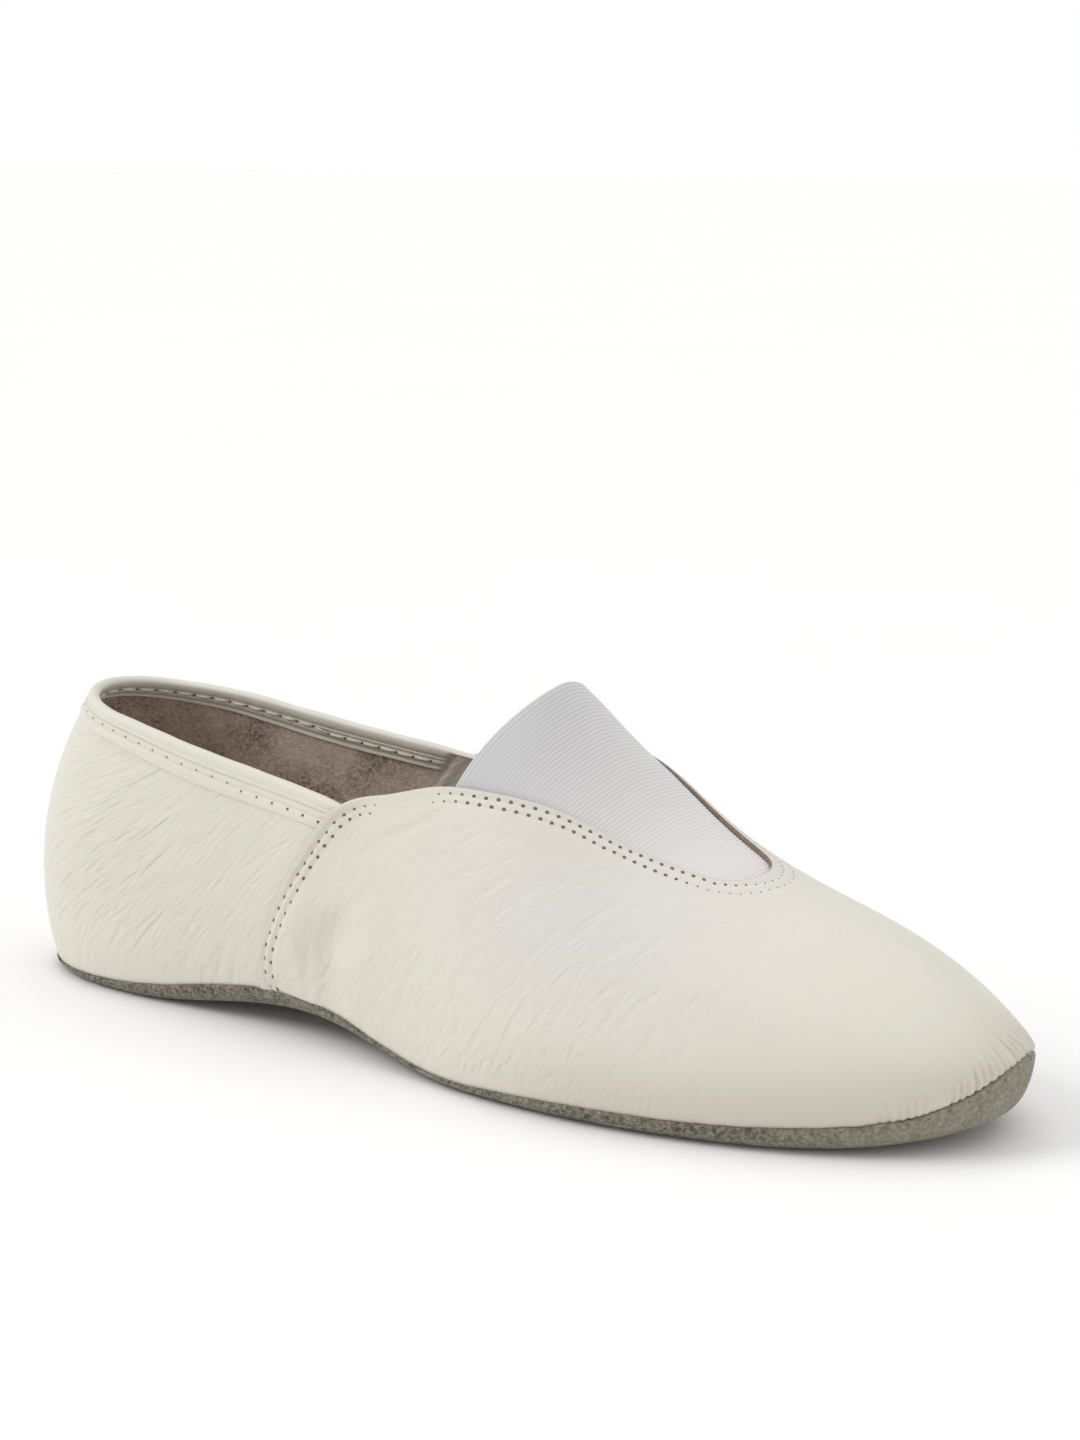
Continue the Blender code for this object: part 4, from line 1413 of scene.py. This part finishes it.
@dataclass
class Binding:
    """Leather strip folded over the collar's edge, with a rolled top and one stitch row."""

    pattern: Pattern
    wardrobe: Wardrobe
    leather: float = 1.2 * MM
    rise: float = 0.95 * MM
    snug: float = 0.05 * MM
    columns: int = 150
    roll_points: int = 7
    leg_rows: int = 3                           # rows from one point of the leg to the next
    end_fade: float = 10.0 * MM
    end_swell: Span = Span(0.66, 1.0)
    uneven_pitch: float = 9 * MM
    uneven_share: float = 0.16
    uneven_seed: float = 4.1
    tuck: float = 3.2 * MM
    breadth: Span = Span(0.76, 1.10)            # share of the leg's depth, heel and side seam
    heel_turn: float = 0.35                     # turn up to which the strip is as narrow as at the heel
    row_drop: float = 4.3 * MM
    pitch: float = 4.6 * MM
    tucked_end: float = 6.0 * MM                # length of each end, inside, under the turned-in vamp
    tucked_fade: float = 0.4 * MM
    inside_drop: float = 5.3 * MM               # how far down the leg reaches inside
    inside_fade: Span = Span(0.3 * MM, -0.1 * MM)
    outer_sink: float = 0.35 * MM               # how deep each face lies in the leather where it is hidden
    inner_sink: float = 0.5 * MM
    inner_rise: float = 0.3 * MM
    wrinkle: float = 0.25
    piece: bpy.types.Object = field(init=False)
    edge: EdgeLine = field(init=False)
    edge_normals: Array = field(init=False)
    row_drops: Array = field(init=False)

    def width_at(self, turn: float) -> float:
        """Share of the leg's depth that the strip has at a turn, least round the heel."""
        return self.breadth.at(float(ramp(np.array(turn), self.heel_turn, self.pattern.seam_turn)))

    def build(self) -> None:
        """Fold the strip over the collar."""
        pattern = self.pattern
        turns, sides = pattern.round_heel(self.columns, self.tuck)
        knots = np.arange(len(BINDING_LEG))
        steps = np.linspace(0, knots[-1], self.leg_rows * knots[-1] + 1)
        drops = spline(knots, column_of(BINDING_LEG, "drop"))(steps)
        proud = spline(knots, column_of(BINDING_LEG, "proud"))(steps)
        lay = pattern.lay(turns, sides, pattern.collar_climb, [0.0, *drops[::-1]], [0.0], 0, self.width_at)
        self.row_drops = np.array([self.row_drop * self.width_at(turn) for turn in turns])
        leg, leg_normals = lay.points[:, 1:-1], lay.normals[:, 1:-1]
        edge = lay.points[:, -1] - lay.normals[:, -1] * self.leather / 2
        up = lay.points[:, -1] - leg[:, -1]
        up /= np.linalg.norm(up, axis=-1, keepdims=True)
        self.edge, self.edge_normals = EdgeLine(lay.points[:, -1]), lay.normals[:, -1]
        collar = self.edge.along
        to_end = np.minimum(collar, collar[-1] - collar)
        uneven = [noise.noise(Vector((place / self.uneven_pitch, 0.0, self.uneven_seed))) for place in collar]
        swell = self.end_swell.at(ramp(to_end, 0.0, self.end_fade))
        swell = (swell * (1 + self.uneven_share * np.array(uneven)))[:, None]
        free = ramp(to_end - self.tucked_end, -self.tucked_fade, self.tucked_fade)[:, None]
        hold = free * self.inside_fade.of(drops - self.inside_drop)

        def wrap(off: Array, rise: float, sink: float) -> Array:
            """Rows of one face, from the outside leg's foot over the roll to the inside leg's.

            Args:
                off: How far each row of the leg stands off the leather.
                rise: How far the roll stands above the leather's edge.
                sink: How deep the inside leg lies in the leather where it is hidden.

            Returns:
                Grid of points, a column for each place along the collar.
            """
            outside = leg + leg_normals * (off * swell)[..., None]
            inside = leg - leg_normals * (off * swell * hold - sink * (1 - hold) + self.leather)[..., None]
            angles = np.linspace(0, math.pi, self.roll_points + 2)[1:-1]
            breadth = (self.leather / 2 + off[-1] * swell)[..., None]
            roll = (edge[:, None] + breadth * np.cos(angles)[:, None] * lay.normals[:, -1:]
                    + (rise * swell)[..., None] * np.sin(angles)[:, None] * up[:, None])
            return np.concatenate([outside, roll, inside[:, ::-1]], 1)

        outer = wrap(proud, self.rise, self.outer_sink)
        inner = wrap(np.full(len(proud), self.snug), self.inner_rise, self.inner_sink)
        chart = np.stack([np.broadcast_to(collar[:, None], outer.shape[:2]), lengths_along(outer, 1)], -1)
        finishes = [self.wardrobe.leather] * len(Face)
        blank = Blank(outer[::-1], inner[::-1])
        marks = {"wrinkle": np.full(outer.shape[:2], self.wrinkle)}
        self.piece = blank.make("collar_binding_strip", finishes, chart[::-1], marks)
        dress(self.piece, "collar_binding")


@dataclass
class Elastic:
    """Elastic panel that fills the throat, sewn under the vamp's edge and free at its top."""

    upper: Upper
    wardrobe: Wardrobe
    snug: float = 0.08 * MM         # gap to the vamp's flesh side
    thickness: float = 1.1 * MM
    top: float = 139.1 * MM
    bow: float = 15.0
    tip: float = 196.0 * MM
    underlap: float = math.radians(11)
    half_girth: float = 70 * MM     # turns an angle round the instep into a distance
    across: int = 61
    along: int = 380
    rib: float = 0.9 * MM
    rib_height: float = 0.08 * MM
    flatness: float = 0.6           # share of the last's crown that the stretched panel spans straight across
    flat_run: Span = Span(15 * MM, 45 * MM)
    rib_run: Span = Span(1.0 * MM, 2.0 * MM)
    hem: Swell = Swell(0.35 * MM, 0.7 * MM)
    under_run: Span = Span(-1 * MM, 4 * MM)
    # run of the painted light, from darker at the back to lighter towards the toe
    elastic_light_run: Span = Span(5 * MM, 62 * MM)

    def build(self) -> None:
        """Lay the panel on the last, with its ribs parallel to the free edge."""
        upper, pattern, last = self.upper, self.upper.pattern, self.upper.pattern.last
        narrow = column_of(THROAT_LINE, "station")[-1]

        def climb(turn: Array, share: float) -> Array:
            """Climb at a share of the panel's half width."""
            spread = pattern.throat(np.minimum(station_of(turn), narrow)) + self.underlap
            return RIDGE - abs(share) * spread

        def behind(turn: float, share: float, x_ridge: float, bow: float) -> bool:
            """Whether a place lies behind an edge that bows back to the sides."""
            x, y, _ = last.at(turn, climb(turn, share), -1.0)
            return x - last.heel < x_ridge - bow * y ** 2

        shares = np.linspace(-1, 1, self.across)
        turns = np.empty((self.across, self.along))
        climbs = np.empty_like(turns)
        for i, share in enumerate(shares):
            top = crossing(lambda turn: behind(turn, share, self.top, self.bow), pattern.seam_turn, math.pi)
            tip = crossing(lambda turn: behind(turn, share, self.tip, 0.0), pattern.seam_turn, math.pi)
            turns[i] = np.linspace(top, tip, self.along)
            climbs[i] = climb(turns[i], share)
        sides = np.broadcast_to(np.where(shares < 0, -1.0, 1.0)[:, None], turns.shape)
        opening = pattern.throat(np.minimum(station_of(turns), narrow))
        lay = Lay(turns[:, 0], sides, last.at(turns, climbs, sides), last.normal(turns, climbs, sides))
        middle = self.across // 2
        brim = [np.interp(angle / (angle + self.underlap), shares[middle:], column[middle:])
                for angle, column in zip(opening[middle], lay.points[..., 2].T)]
        crown = np.clip(lay.points[..., 2] - np.array(brim), 0, None)
        lay.points[..., 2] -= self.flatness * crown * self.flat_run.of(lay.points[..., 0])
        along, run = EdgeLine(lay.points[:, 0]).measure(lay.points)
        chart = np.stack([along, run], -1)
        ribs = self.rib_height * (np.cos(2 * math.pi * run / self.rib) - 1) * self.rib_run.of(run)
        beside = (np.abs(shares)[:, None] * (opening + self.underlap) - opening) * self.half_girth
        beyond = lay.points[..., 0] - last.heel - pattern.throat_tip
        under = self.under_run.of(np.maximum(beside, beyond))
        edge = upper.edge_wall(upper.past_junction(upper.edge.measure(lay.points)[0]))
        depth = self.snug + edge + (upper.leather - edge) * under
        outer = lay.raised(ribs - rounding(run, self.hem) - depth)
        inner = lay.raised(-ribs - depth - self.thickness)
        finishes = [self.wardrobe.elastic] * len(Face)
        # painted light: darker at the back of the panel, lighter towards the toe
        elastic_painted_light = self.elastic_light_run.of(lay.points[..., 0])
        piece = Blank(outer, inner).make("elastic_panel", finishes, chart, {"elastic_painted_light": elastic_painted_light})
        dress(piece, "elastic_gusset")
        flat = float(lengths_along(lay.points, 0)[-1].max()), float(lengths_along(lay.points, 1)[:, -1].max())


UNDER_LIP = (LipPoint(0.55 * MM, 0.0), LipPoint(0.22 * MM, 0.06 * MM), LipPoint(0.05 * MM, 0.22 * MM))
OVER_LIP = (LipPoint(-0.35 * MM, 0.0), LipPoint(-0.15 * MM, 0.05 * MM), LipPoint(0.0, 0.2 * MM))


@dataclass
class Sole:
    """Suede sole that turns up to the feather line all round, and the sock lining in it."""

    pattern: Pattern
    wardrobe: Wardrobe
    thickness: float = 1.6 * MM
    round_reach: float = 5.0 * MM
    gap: float = 0.3 * MM
    spine_heel: float = 25.0 * MM
    spine_toe: float = 221.0 * MM
    lining_thickness: float = 1.5 * MM
    lining_inset: float = 3.2 * MM
    lip_rise: float = 0.35 * MM
    pitch: float = 4.4 * MM
    columns: int = 230
    round_rows: int = 15
    flat_rows: int = 18
    lining_rows: int = 4
    wave: Span = Span(0.14 * MM, 0.40 * MM)     # how uneven the rim is, behind and at the toe
    wave_run: Span = Span(0.72, 0.9)            # share of the last's length
    wave_pitch: float = 4 * MM
    wave_seed: float = 2.3
    # painted light: how much lighter the sole is made towards the toe, and over what run
    tint_and_painted_shading: float = 0.42
    toe_light_run: Span = Span(70 * MM, 118 * MM)
    rim: EdgeLine = field(init=False)
    rim_normals: Array = field(init=False)
    piece: bpy.types.Object = field(init=False)

    def _ring(self) -> tuple[Array, Array, Array]:
        """Trace the feather line once round.

        Returns:
            Its points, the outward directions in plan, and the points of the spine that they go with.
        """
        last = self.pattern.last
        half = np.linspace(0, math.pi, self.columns)
        turns = np.concatenate([half, half[-2::-1]])
        sides = np.concatenate([np.full(len(half), -1.0), np.full(len(half) - 1, 1.0)])
        foot = last.feather(turns, sides)
        spine = np.zeros_like(foot)
        spine[:, 0] = self.spine_heel + (self.spine_toe - self.spine_heel) * station_of(turns)
        outward = foot - spine
        outward[:, 2] = 0
        return foot, outward / np.linalg.norm(outward, axis=-1, keepdims=True), spine

    def _dish(self, insets: Array, reach: float, depth: float, rise: float,
              lip: Sequence[LipPoint] = ()) -> Array:
        """Rows of the dish from its rim in to the spine.

        Args:
            insets: How far in from the rim each row of the rounded edge lies.
            reach: How far in the rounded edge goes.
            depth: Depth inside the sole's underside.
            rise: Height of the rim above the feather line.
            lip: Rows that round off the rim.

        Returns:
            Grid of points, a column for each place round the sole.
        """
        last = self.pattern.last
        foot, outward, spine = self._ring()
        wave = np.zeros(len(foot))
        if lip:
            spots = [Vector((x / self.wave_pitch, y / self.wave_pitch, self.wave_seed)) for x, y, _ in foot]
            wave = self.wave.at(self.wave_run.of(foot[:, 0] / last.length)) * [noise.noise(s) for s in spots]
        rows = []
        for inset, drop in lip:
            row = foot + outward * (last.sole_proud - depth - inset + wave)[:, None]
            row[:, 2] = foot[:, 2] + rise + wave - drop
            rows.append(row)
        for inset in insets:
            share = min(1.0, inset / reach)
            row = foot + outward * (last.sole_proud - depth - inset + wave * (1 - share))[:, None]
            floor = last.sole_lift(row[:, 0] / last.length) + depth
            fall = 1 - math.sqrt(1 - (1 - share) ** 2)
            row[:, 2] = floor + (foot[:, 2] + rise + wave - floor) * fall
            rows.append(row)
        edge = rows[-1]
        for share in np.linspace(0, 1, self.flat_rows + 1)[1:]:
            row = edge * (1 - share) + spine * share
            row[:, 2] = last.sole_lift(row[:, 0] / last.length) + depth
            rows.append(row)
        grid = np.stack(rows, 1)
        grid[..., 0] += last.heel
        return grid

    def build(self) -> None:
        """Make the sole and its lining."""
        turns = 1 - np.cos(np.linspace(0, RIDGE, self.round_rows))[1:]
        under = self._dish(turns * self.round_reach, self.round_reach, 0.0, self.lip_rise, UNDER_LIP)
        inner_reach = self.round_reach - self.thickness
        over = self._dish(turns * inner_reach, inner_reach, self.thickness, self.lip_rise, OVER_LIP)
        flat = np.zeros(under.shape[:2] + (2,))
        finishes = [self.wardrobe.sole] * len(Face)
        # painted light: lighter towards the toe
        tint_and_painted_shading = self.tint_and_painted_shading * self.toe_light_run.of(under[..., 0])
        self.piece = Blank(under, over, closed_ring=True).make("suede_sole", finishes, flat, {"tint_and_painted_shading": tint_and_painted_shading})
        dress(self.piece, "outsole")
        self.rim, self.rim_normals = EdgeLine(under[:, len(UNDER_LIP) - 1]), self._ring()[1]
        start = self.lining_inset + self.pattern.last.sole_proud - self.thickness
        insets = start + (inner_reach - start) * np.linspace(0, 1, self.lining_rows)
        lower = self._dish(insets, inner_reach, self.thickness, -self.gap) + np.array([0, 0, self.gap])
        upper = lower + np.array([0, 0, self.lining_thickness])
        flat = np.zeros(lower.shape[:2] + (2,))
        lining = Blank(lower, upper, closed_ring=True)
        piece = lining.make("sock_lining_sheet", [self.wardrobe.sock] * len(Face), flat, {})
        dress(piece, "insole")


class Row(NamedTuple):
    """Line of a stitch row on a piece."""

    points: Array
    normals: Array
    shown: Array        # share of the full hole that shows, 0 where the row is hidden
    pitch: Array        # distance between two needle holes
    threaded: Array     # whether thread shows between the holes


def row_on(piece: bpy.types.Object, edge: EdgeLine, normals: Array, away: Array, shown: Array, pitch: Array,
           threaded: Array) -> Row:
    """Line on a piece beside an edge.

    Args:
        piece: The piece that it lies on.
        edge: The edge.
        normals: Outward directions of the surface along the edge, as long as the way to search from.
        away: Distance from the edge, at each of its points.
        shown: Share of the full hole that shows there.
        pitch: Distance between two needle holes there.
        threaded: Whether thread shows between the holes there.

    Returns:
        The row.
    """
    mesh = bmesh.new()
    mesh.from_mesh(piece.data)
    tree = BVHTree.FromBMesh(mesh)
    mesh.free()
    inward = np.cross(np.gradient(edge.points, axis=0), normals)
    inward *= (away / np.linalg.norm(inward, axis=-1))[:, None]
    found = [tree.find_nearest(Vector(point)) for point in edge.points + inward + normals]
    return Row(np.array([hit[0] for hit in found]), np.array([hit[1] for hit in found]), shown,
               np.broadcast_to(pitch, shown.shape), np.broadcast_to(threaded, shown.shape))


class Bead(IntEnum):
    """Kind of bead, in the order of its material."""

    THREAD = 0
    HOLE = 1


VAMP_ROWS = (RowFade("first", Span(88 * MM, 103 * MM), 0.42), RowFade("second", Span(82 * MM, 92 * MM), 0.5))


@dataclass
class Stitching:
    """Thread and needle holes along the seams."""

    wardrobe: Wardrobe
    thread: float = 0.24 * MM
    thread_share: float = 0.40                  # half length of a stitch, as a share of the way between holes
    thread_sink: float = 0.85                   # how far it is pulled in, as a share of its half width
    hole: tuple[float, float, float] = (0.53 * MM, 0.43 * MM, 0.08 * MM)
    faintest: float = 0.3
    # the vamp's rows, along its edge past the corner of collar and throat
    throat_run: Span = Span(-4 * MM, 8 * MM)
    apex_run: Span = Span(40 * MM, 70 * MM)
    apex_loss: float = 0.14
    corner_end: float = 20 * MM
    corner_run: Span = Span(2 * MM, 11 * MM)
    corner_loss: float = 0.4
    bare_end: float = 42 * MM
    bare_loss: float = 0.5
    # the binding's row, outside and inside
    collar_shown: Span = Span(0.62, 0.87)
    collar_run: Span = Span(30 * MM, 5 * MM)
    inside_search: float = 3.5 * MM
    inside_drop: float = 0.62                   # share of the drop outside
    inside_shown: float = 0.8
    inside_end: float = 8 * MM
    # the sole's row
    toe_run: Span = Span(50 * MM, 75 * MM)
    toe_shown: float = 0.75
    toe_drop: float = 0.7 * MM

    def sew(self, name: str, rows: Sequence[Row]) -> None:
        """Lay stitches along rows.

        Args:
            name: Name of the piece.
            rows: The rows.
        """
        cloth = bmesh.new()
        for row in rows:
            steps = np.diff(lengths_along(row.points)) / row.pitch[1:]
            count = np.concatenate([[0.0], np.cumsum(steps)])
            places = np.arange(0.5, count[-1])
            spots, ups = (np.stack([np.interp(places, count, axis) for axis in grid.T], -1)
                          for grid in (row.points, row.normals))
            shown, threaded = (np.interp(places, count, line) for line in (row.shown, row.threaded))
            for i in range(len(places) - 1):
                if shown[i] < self.faintest:
                    continue
                run = spots[i + 1] - spots[i]
                sizes = (self.hole[0] * shown[i], self.hole[1] * shown[i], self.hole[2])
                # the hole bead's dark colour is painted shade for the hollow of the hole
                self._bead(cloth, spots[i], run, ups[i], sizes, Bead.HOLE)
                if threaded[i] < 1 or shown[i + 1] < self.faintest:
                    continue
                middle = (spots[i] + spots[i + 1]) / 2 - ups[i] * self.thread * self.thread_sink
                sizes = (np.linalg.norm(run) * self.thread_share, self.thread, self.thread)
                self._bead(cloth, middle, run, ups[i], sizes, Bead.THREAD)
        dress(settle(name, cloth, [self.wardrobe.thread, self.wardrobe.hole]), None)

    @staticmethod
    def _bead(cloth: bmesh.types.BMesh, centre: Array, run: Array, up: Array,
              sizes: tuple[float, float, float], kind: Bead) -> None:
        """Add one small rounded bead.

        Args:
            cloth: Mesh that it is added to.
            centre: Its place.
            run: Direction of the row.
            up: Direction of the surface.
            sizes: Half its size along the row, across it and along the surface's direction.
            kind: What it stands for.
        """
        ahead = Vector(run).normalized()
        beside = Vector(up).cross(ahead).normalized()
        turn = Matrix((ahead, beside, ahead.cross(beside))).transposed()
        place = Matrix.Translation(Vector(centre)) @ turn.to_4x4() @ Matrix.Diagonal((*sizes, 1.0))
        made = bmesh.ops.create_uvsphere(cloth, u_segments=8, v_segments=5, radius=1.0, matrix=place)
        for patch in {patch for vert in made["verts"] for patch in vert.link_faces}:
            patch.material_index = kind

    def sew_vamp(self, upper: Upper) -> None:
        """Sew the two rows along the vamp's edge.

        Args:
            upper: The leather.
        """
        along = upper.edge.along
        past = upper.past_junction(along)
        at_apex = self.apex_run.of(past)
        pitch = upper.seam_pitch + (upper.throat_pitch - upper.seam_pitch) * self.throat_run.of(past)
        pitch += (upper.apex_pitch - upper.throat_pitch) * at_apex
        at_corner = self.corner_loss * self.corner_run.of(past)
        at_bare = self.bare_loss * ramp(past, self.bare_end, upper.bare.end)
        full = 1 - np.where(past < self.corner_end, at_corner, at_bare) - self.apex_loss * at_apex
        rows = []
        for fade in VAMP_ROWS:
            shown = np.where(upper.unsewn(along), 0.0, full - fade.loss * fade.run.of(past))
            rows.append(row_on(upper.vamp, upper.edge, upper.edge_normals * MM, upper.row(fade.row, along),
                               shown, pitch, False))
        self.sew("vamp_stitches", rows)

    def sew_collar(self, binding: Binding) -> None:
        """Sew the binding's row, which shows as holes outside and as thread inside.

        Args:
            binding: The binding.
        """
        collar = binding.edge.along
        to_end = np.minimum(collar, collar[-1] - collar)
        shown = self.collar_shown.at(self.collar_run.of(to_end))
        inside = np.where(to_end > self.inside_end, self.inside_shown, 0.0)
        rows = [row_on(binding.piece, binding.edge, binding.edge_normals * MM, binding.row_drops,
                       shown, binding.pitch, False),
                row_on(binding.piece, binding.edge, binding.edge_normals * -self.inside_search,
                       -self.inside_drop * binding.row_drops, inside, binding.pitch, True)]
        self.sew("collar_stitches", rows)

    def sew_toe(self, sole: Sole) -> None:
        """Sew the row along the sole's turned-up edge, round the toe.

        Args:
            sole: The sole.
        """
        shown = self.toe_shown * self.toe_run.of(sole.rim.points[:, 0])
        drops = np.full(len(shown), self.toe_drop)
        rows = [row_on(sole.piece, sole.rim, sole.rim_normals * MM, drops, shown, sole.pitch, False)]
        self.sew("toe_stitches", rows)


LAMPS = (
    Lamp("key softbox", (-0.74, -0.46, 0.70), 30, 1.15),
    Lamp("fill softbox", (0.80, 0.10, 0.60), 50, 0.30),
    Lamp("top softbox", (0.05, 0.20, 1.0), 70, 0.80),
)


@dataclass
class Studio:
    """Camera, lights and floor."""

    azimuth: float = math.radians(31.89)
    elevation: float = math.radians(16.95)
    distance: float = 592.94 * MM
    lens: float = 66.98
    target: tuple[float, float, float] = (0.84 * MM, 0.0, 30 * MM)
    aim_right: float = 8.60 * MM
    aim_up: float = 40.67 * MM
    nearest: float = 0.01
    sweep: float = 1.0
    front: float = 0.60
    front_run: Span = Span(-0.4, 0.2)           # along Y of the surround, from front to sweep
    ceiling: float = 0.55
    ceiling_run: Span = Span(0.06, 0.25)        # along Z of the surround, from those to the ceiling
    floor_reach: float = 6.0

    def build(self) -> None:
        """Set up the camera, the floor, the lights and the plain white surround."""
        scene = bpy.context.scene
        scene.view_settings.view_transform = "Standard"
        a, e = self.azimuth, self.elevation
        back = Vector((math.sin(a) * math.cos(e), -math.cos(a) * math.cos(e), math.sin(e)))
        right = Vector((math.cos(a), math.sin(a), 0.0))
        eye = Vector(self.target) + back * self.distance
        aim = Vector(self.target) + right * self.aim_right + back.cross(right) * self.aim_up
        camera = bpy.data.objects.new("camera", bpy.data.cameras.new("camera"))
        camera.data.lens = self.lens
        camera.data.clip_start = self.nearest
        camera.location = eye
        camera.rotation_euler = (aim - eye).to_track_quat("-Z", "Y").to_euler()
        scene.collection.objects.link(camera)
        scene.camera = camera
        self._floor()
        self._surround()
        for lamp in LAMPS:
            self._hang(lamp)

    def _surround(self) -> None:
        """Light the room: dimmest overhead, a little brighter low in front, and white low behind."""
        world = bpy.data.worlds.new("white surround")
        world.use_nodes = True
        tree = world.node_tree
        place = add_node(tree, "ShaderNodeTexCoord")
        axes = add_node(tree, "ShaderNodeSeparateXYZ", {"Vector": place.outputs["Generated"]})
        low = add_node(tree, "ShaderNodeMapRange", {
            "Value": axes.outputs["Y"], "From Min": self.front_run.start, "From Max": self.front_run.end,
            "To Min": self.front, "To Max": self.sweep})
        fade = add_node(tree, "ShaderNodeMapRange", {
            "Value": axes.outputs["Z"], "From Min": self.ceiling_run.start, "From Max": self.ceiling_run.end,
            "To Min": low.outputs["Result"], "To Max": self.ceiling})
        feed(tree, tree.nodes["Background"], {
            "Strength": fade.outputs["Result"], "Color": (1.0, 1.0, 1.0, 1.0)})
        bpy.context.scene.world = world

    def _floor(self) -> None:
        """Lay a pale seamless paper floor."""
        ground = bmesh.new()
        bmesh.ops.create_grid(ground, x_segments=2, y_segments=2, size=self.floor_reach)
        paper = Mottled("seamless paper, white", "#FBFBFA", "#F9F9F8", 0.6, 200 * MM)
        settle("floor", ground, [paper.build()])

    @staticmethod
    def _hang(lamp: Lamp) -> None:
        """Hang a light in the direction of its source.

        Args:
            lamp: The light.
        """
        light = bpy.data.lights.new(lamp.name, "SUN")
        light.angle = math.radians(lamp.degrees)
        light.energy = lamp.strength
        softbox = bpy.data.objects.new(lamp.name, light)
        softbox.rotation_euler = (-Vector(lamp.source)).to_track_quat("-Z", "Y").to_euler()
        bpy.context.scene.collection.objects.link(softbox)


def main() -> None:
    """Build the slipper's pieces in order."""
    logging.basicConfig(level=logging.INFO, format="%(name)s %(message)s")
    Studio().build()
    wardrobe = Wardrobe()
    pattern = Pattern(Last())
    upper = Upper(pattern, wardrobe)
    upper.build()
    binding = Binding(pattern, wardrobe)
    binding.build()
    Elastic(upper, wardrobe).build()
    sole = Sole(pattern, wardrobe)
    sole.build()
    stitching = Stitching(wardrobe)
    stitching.sew_vamp(upper)
    stitching.sew_collar(binding)
    stitching.sew_toe(sole)


if __name__ == "__main__":
    main()
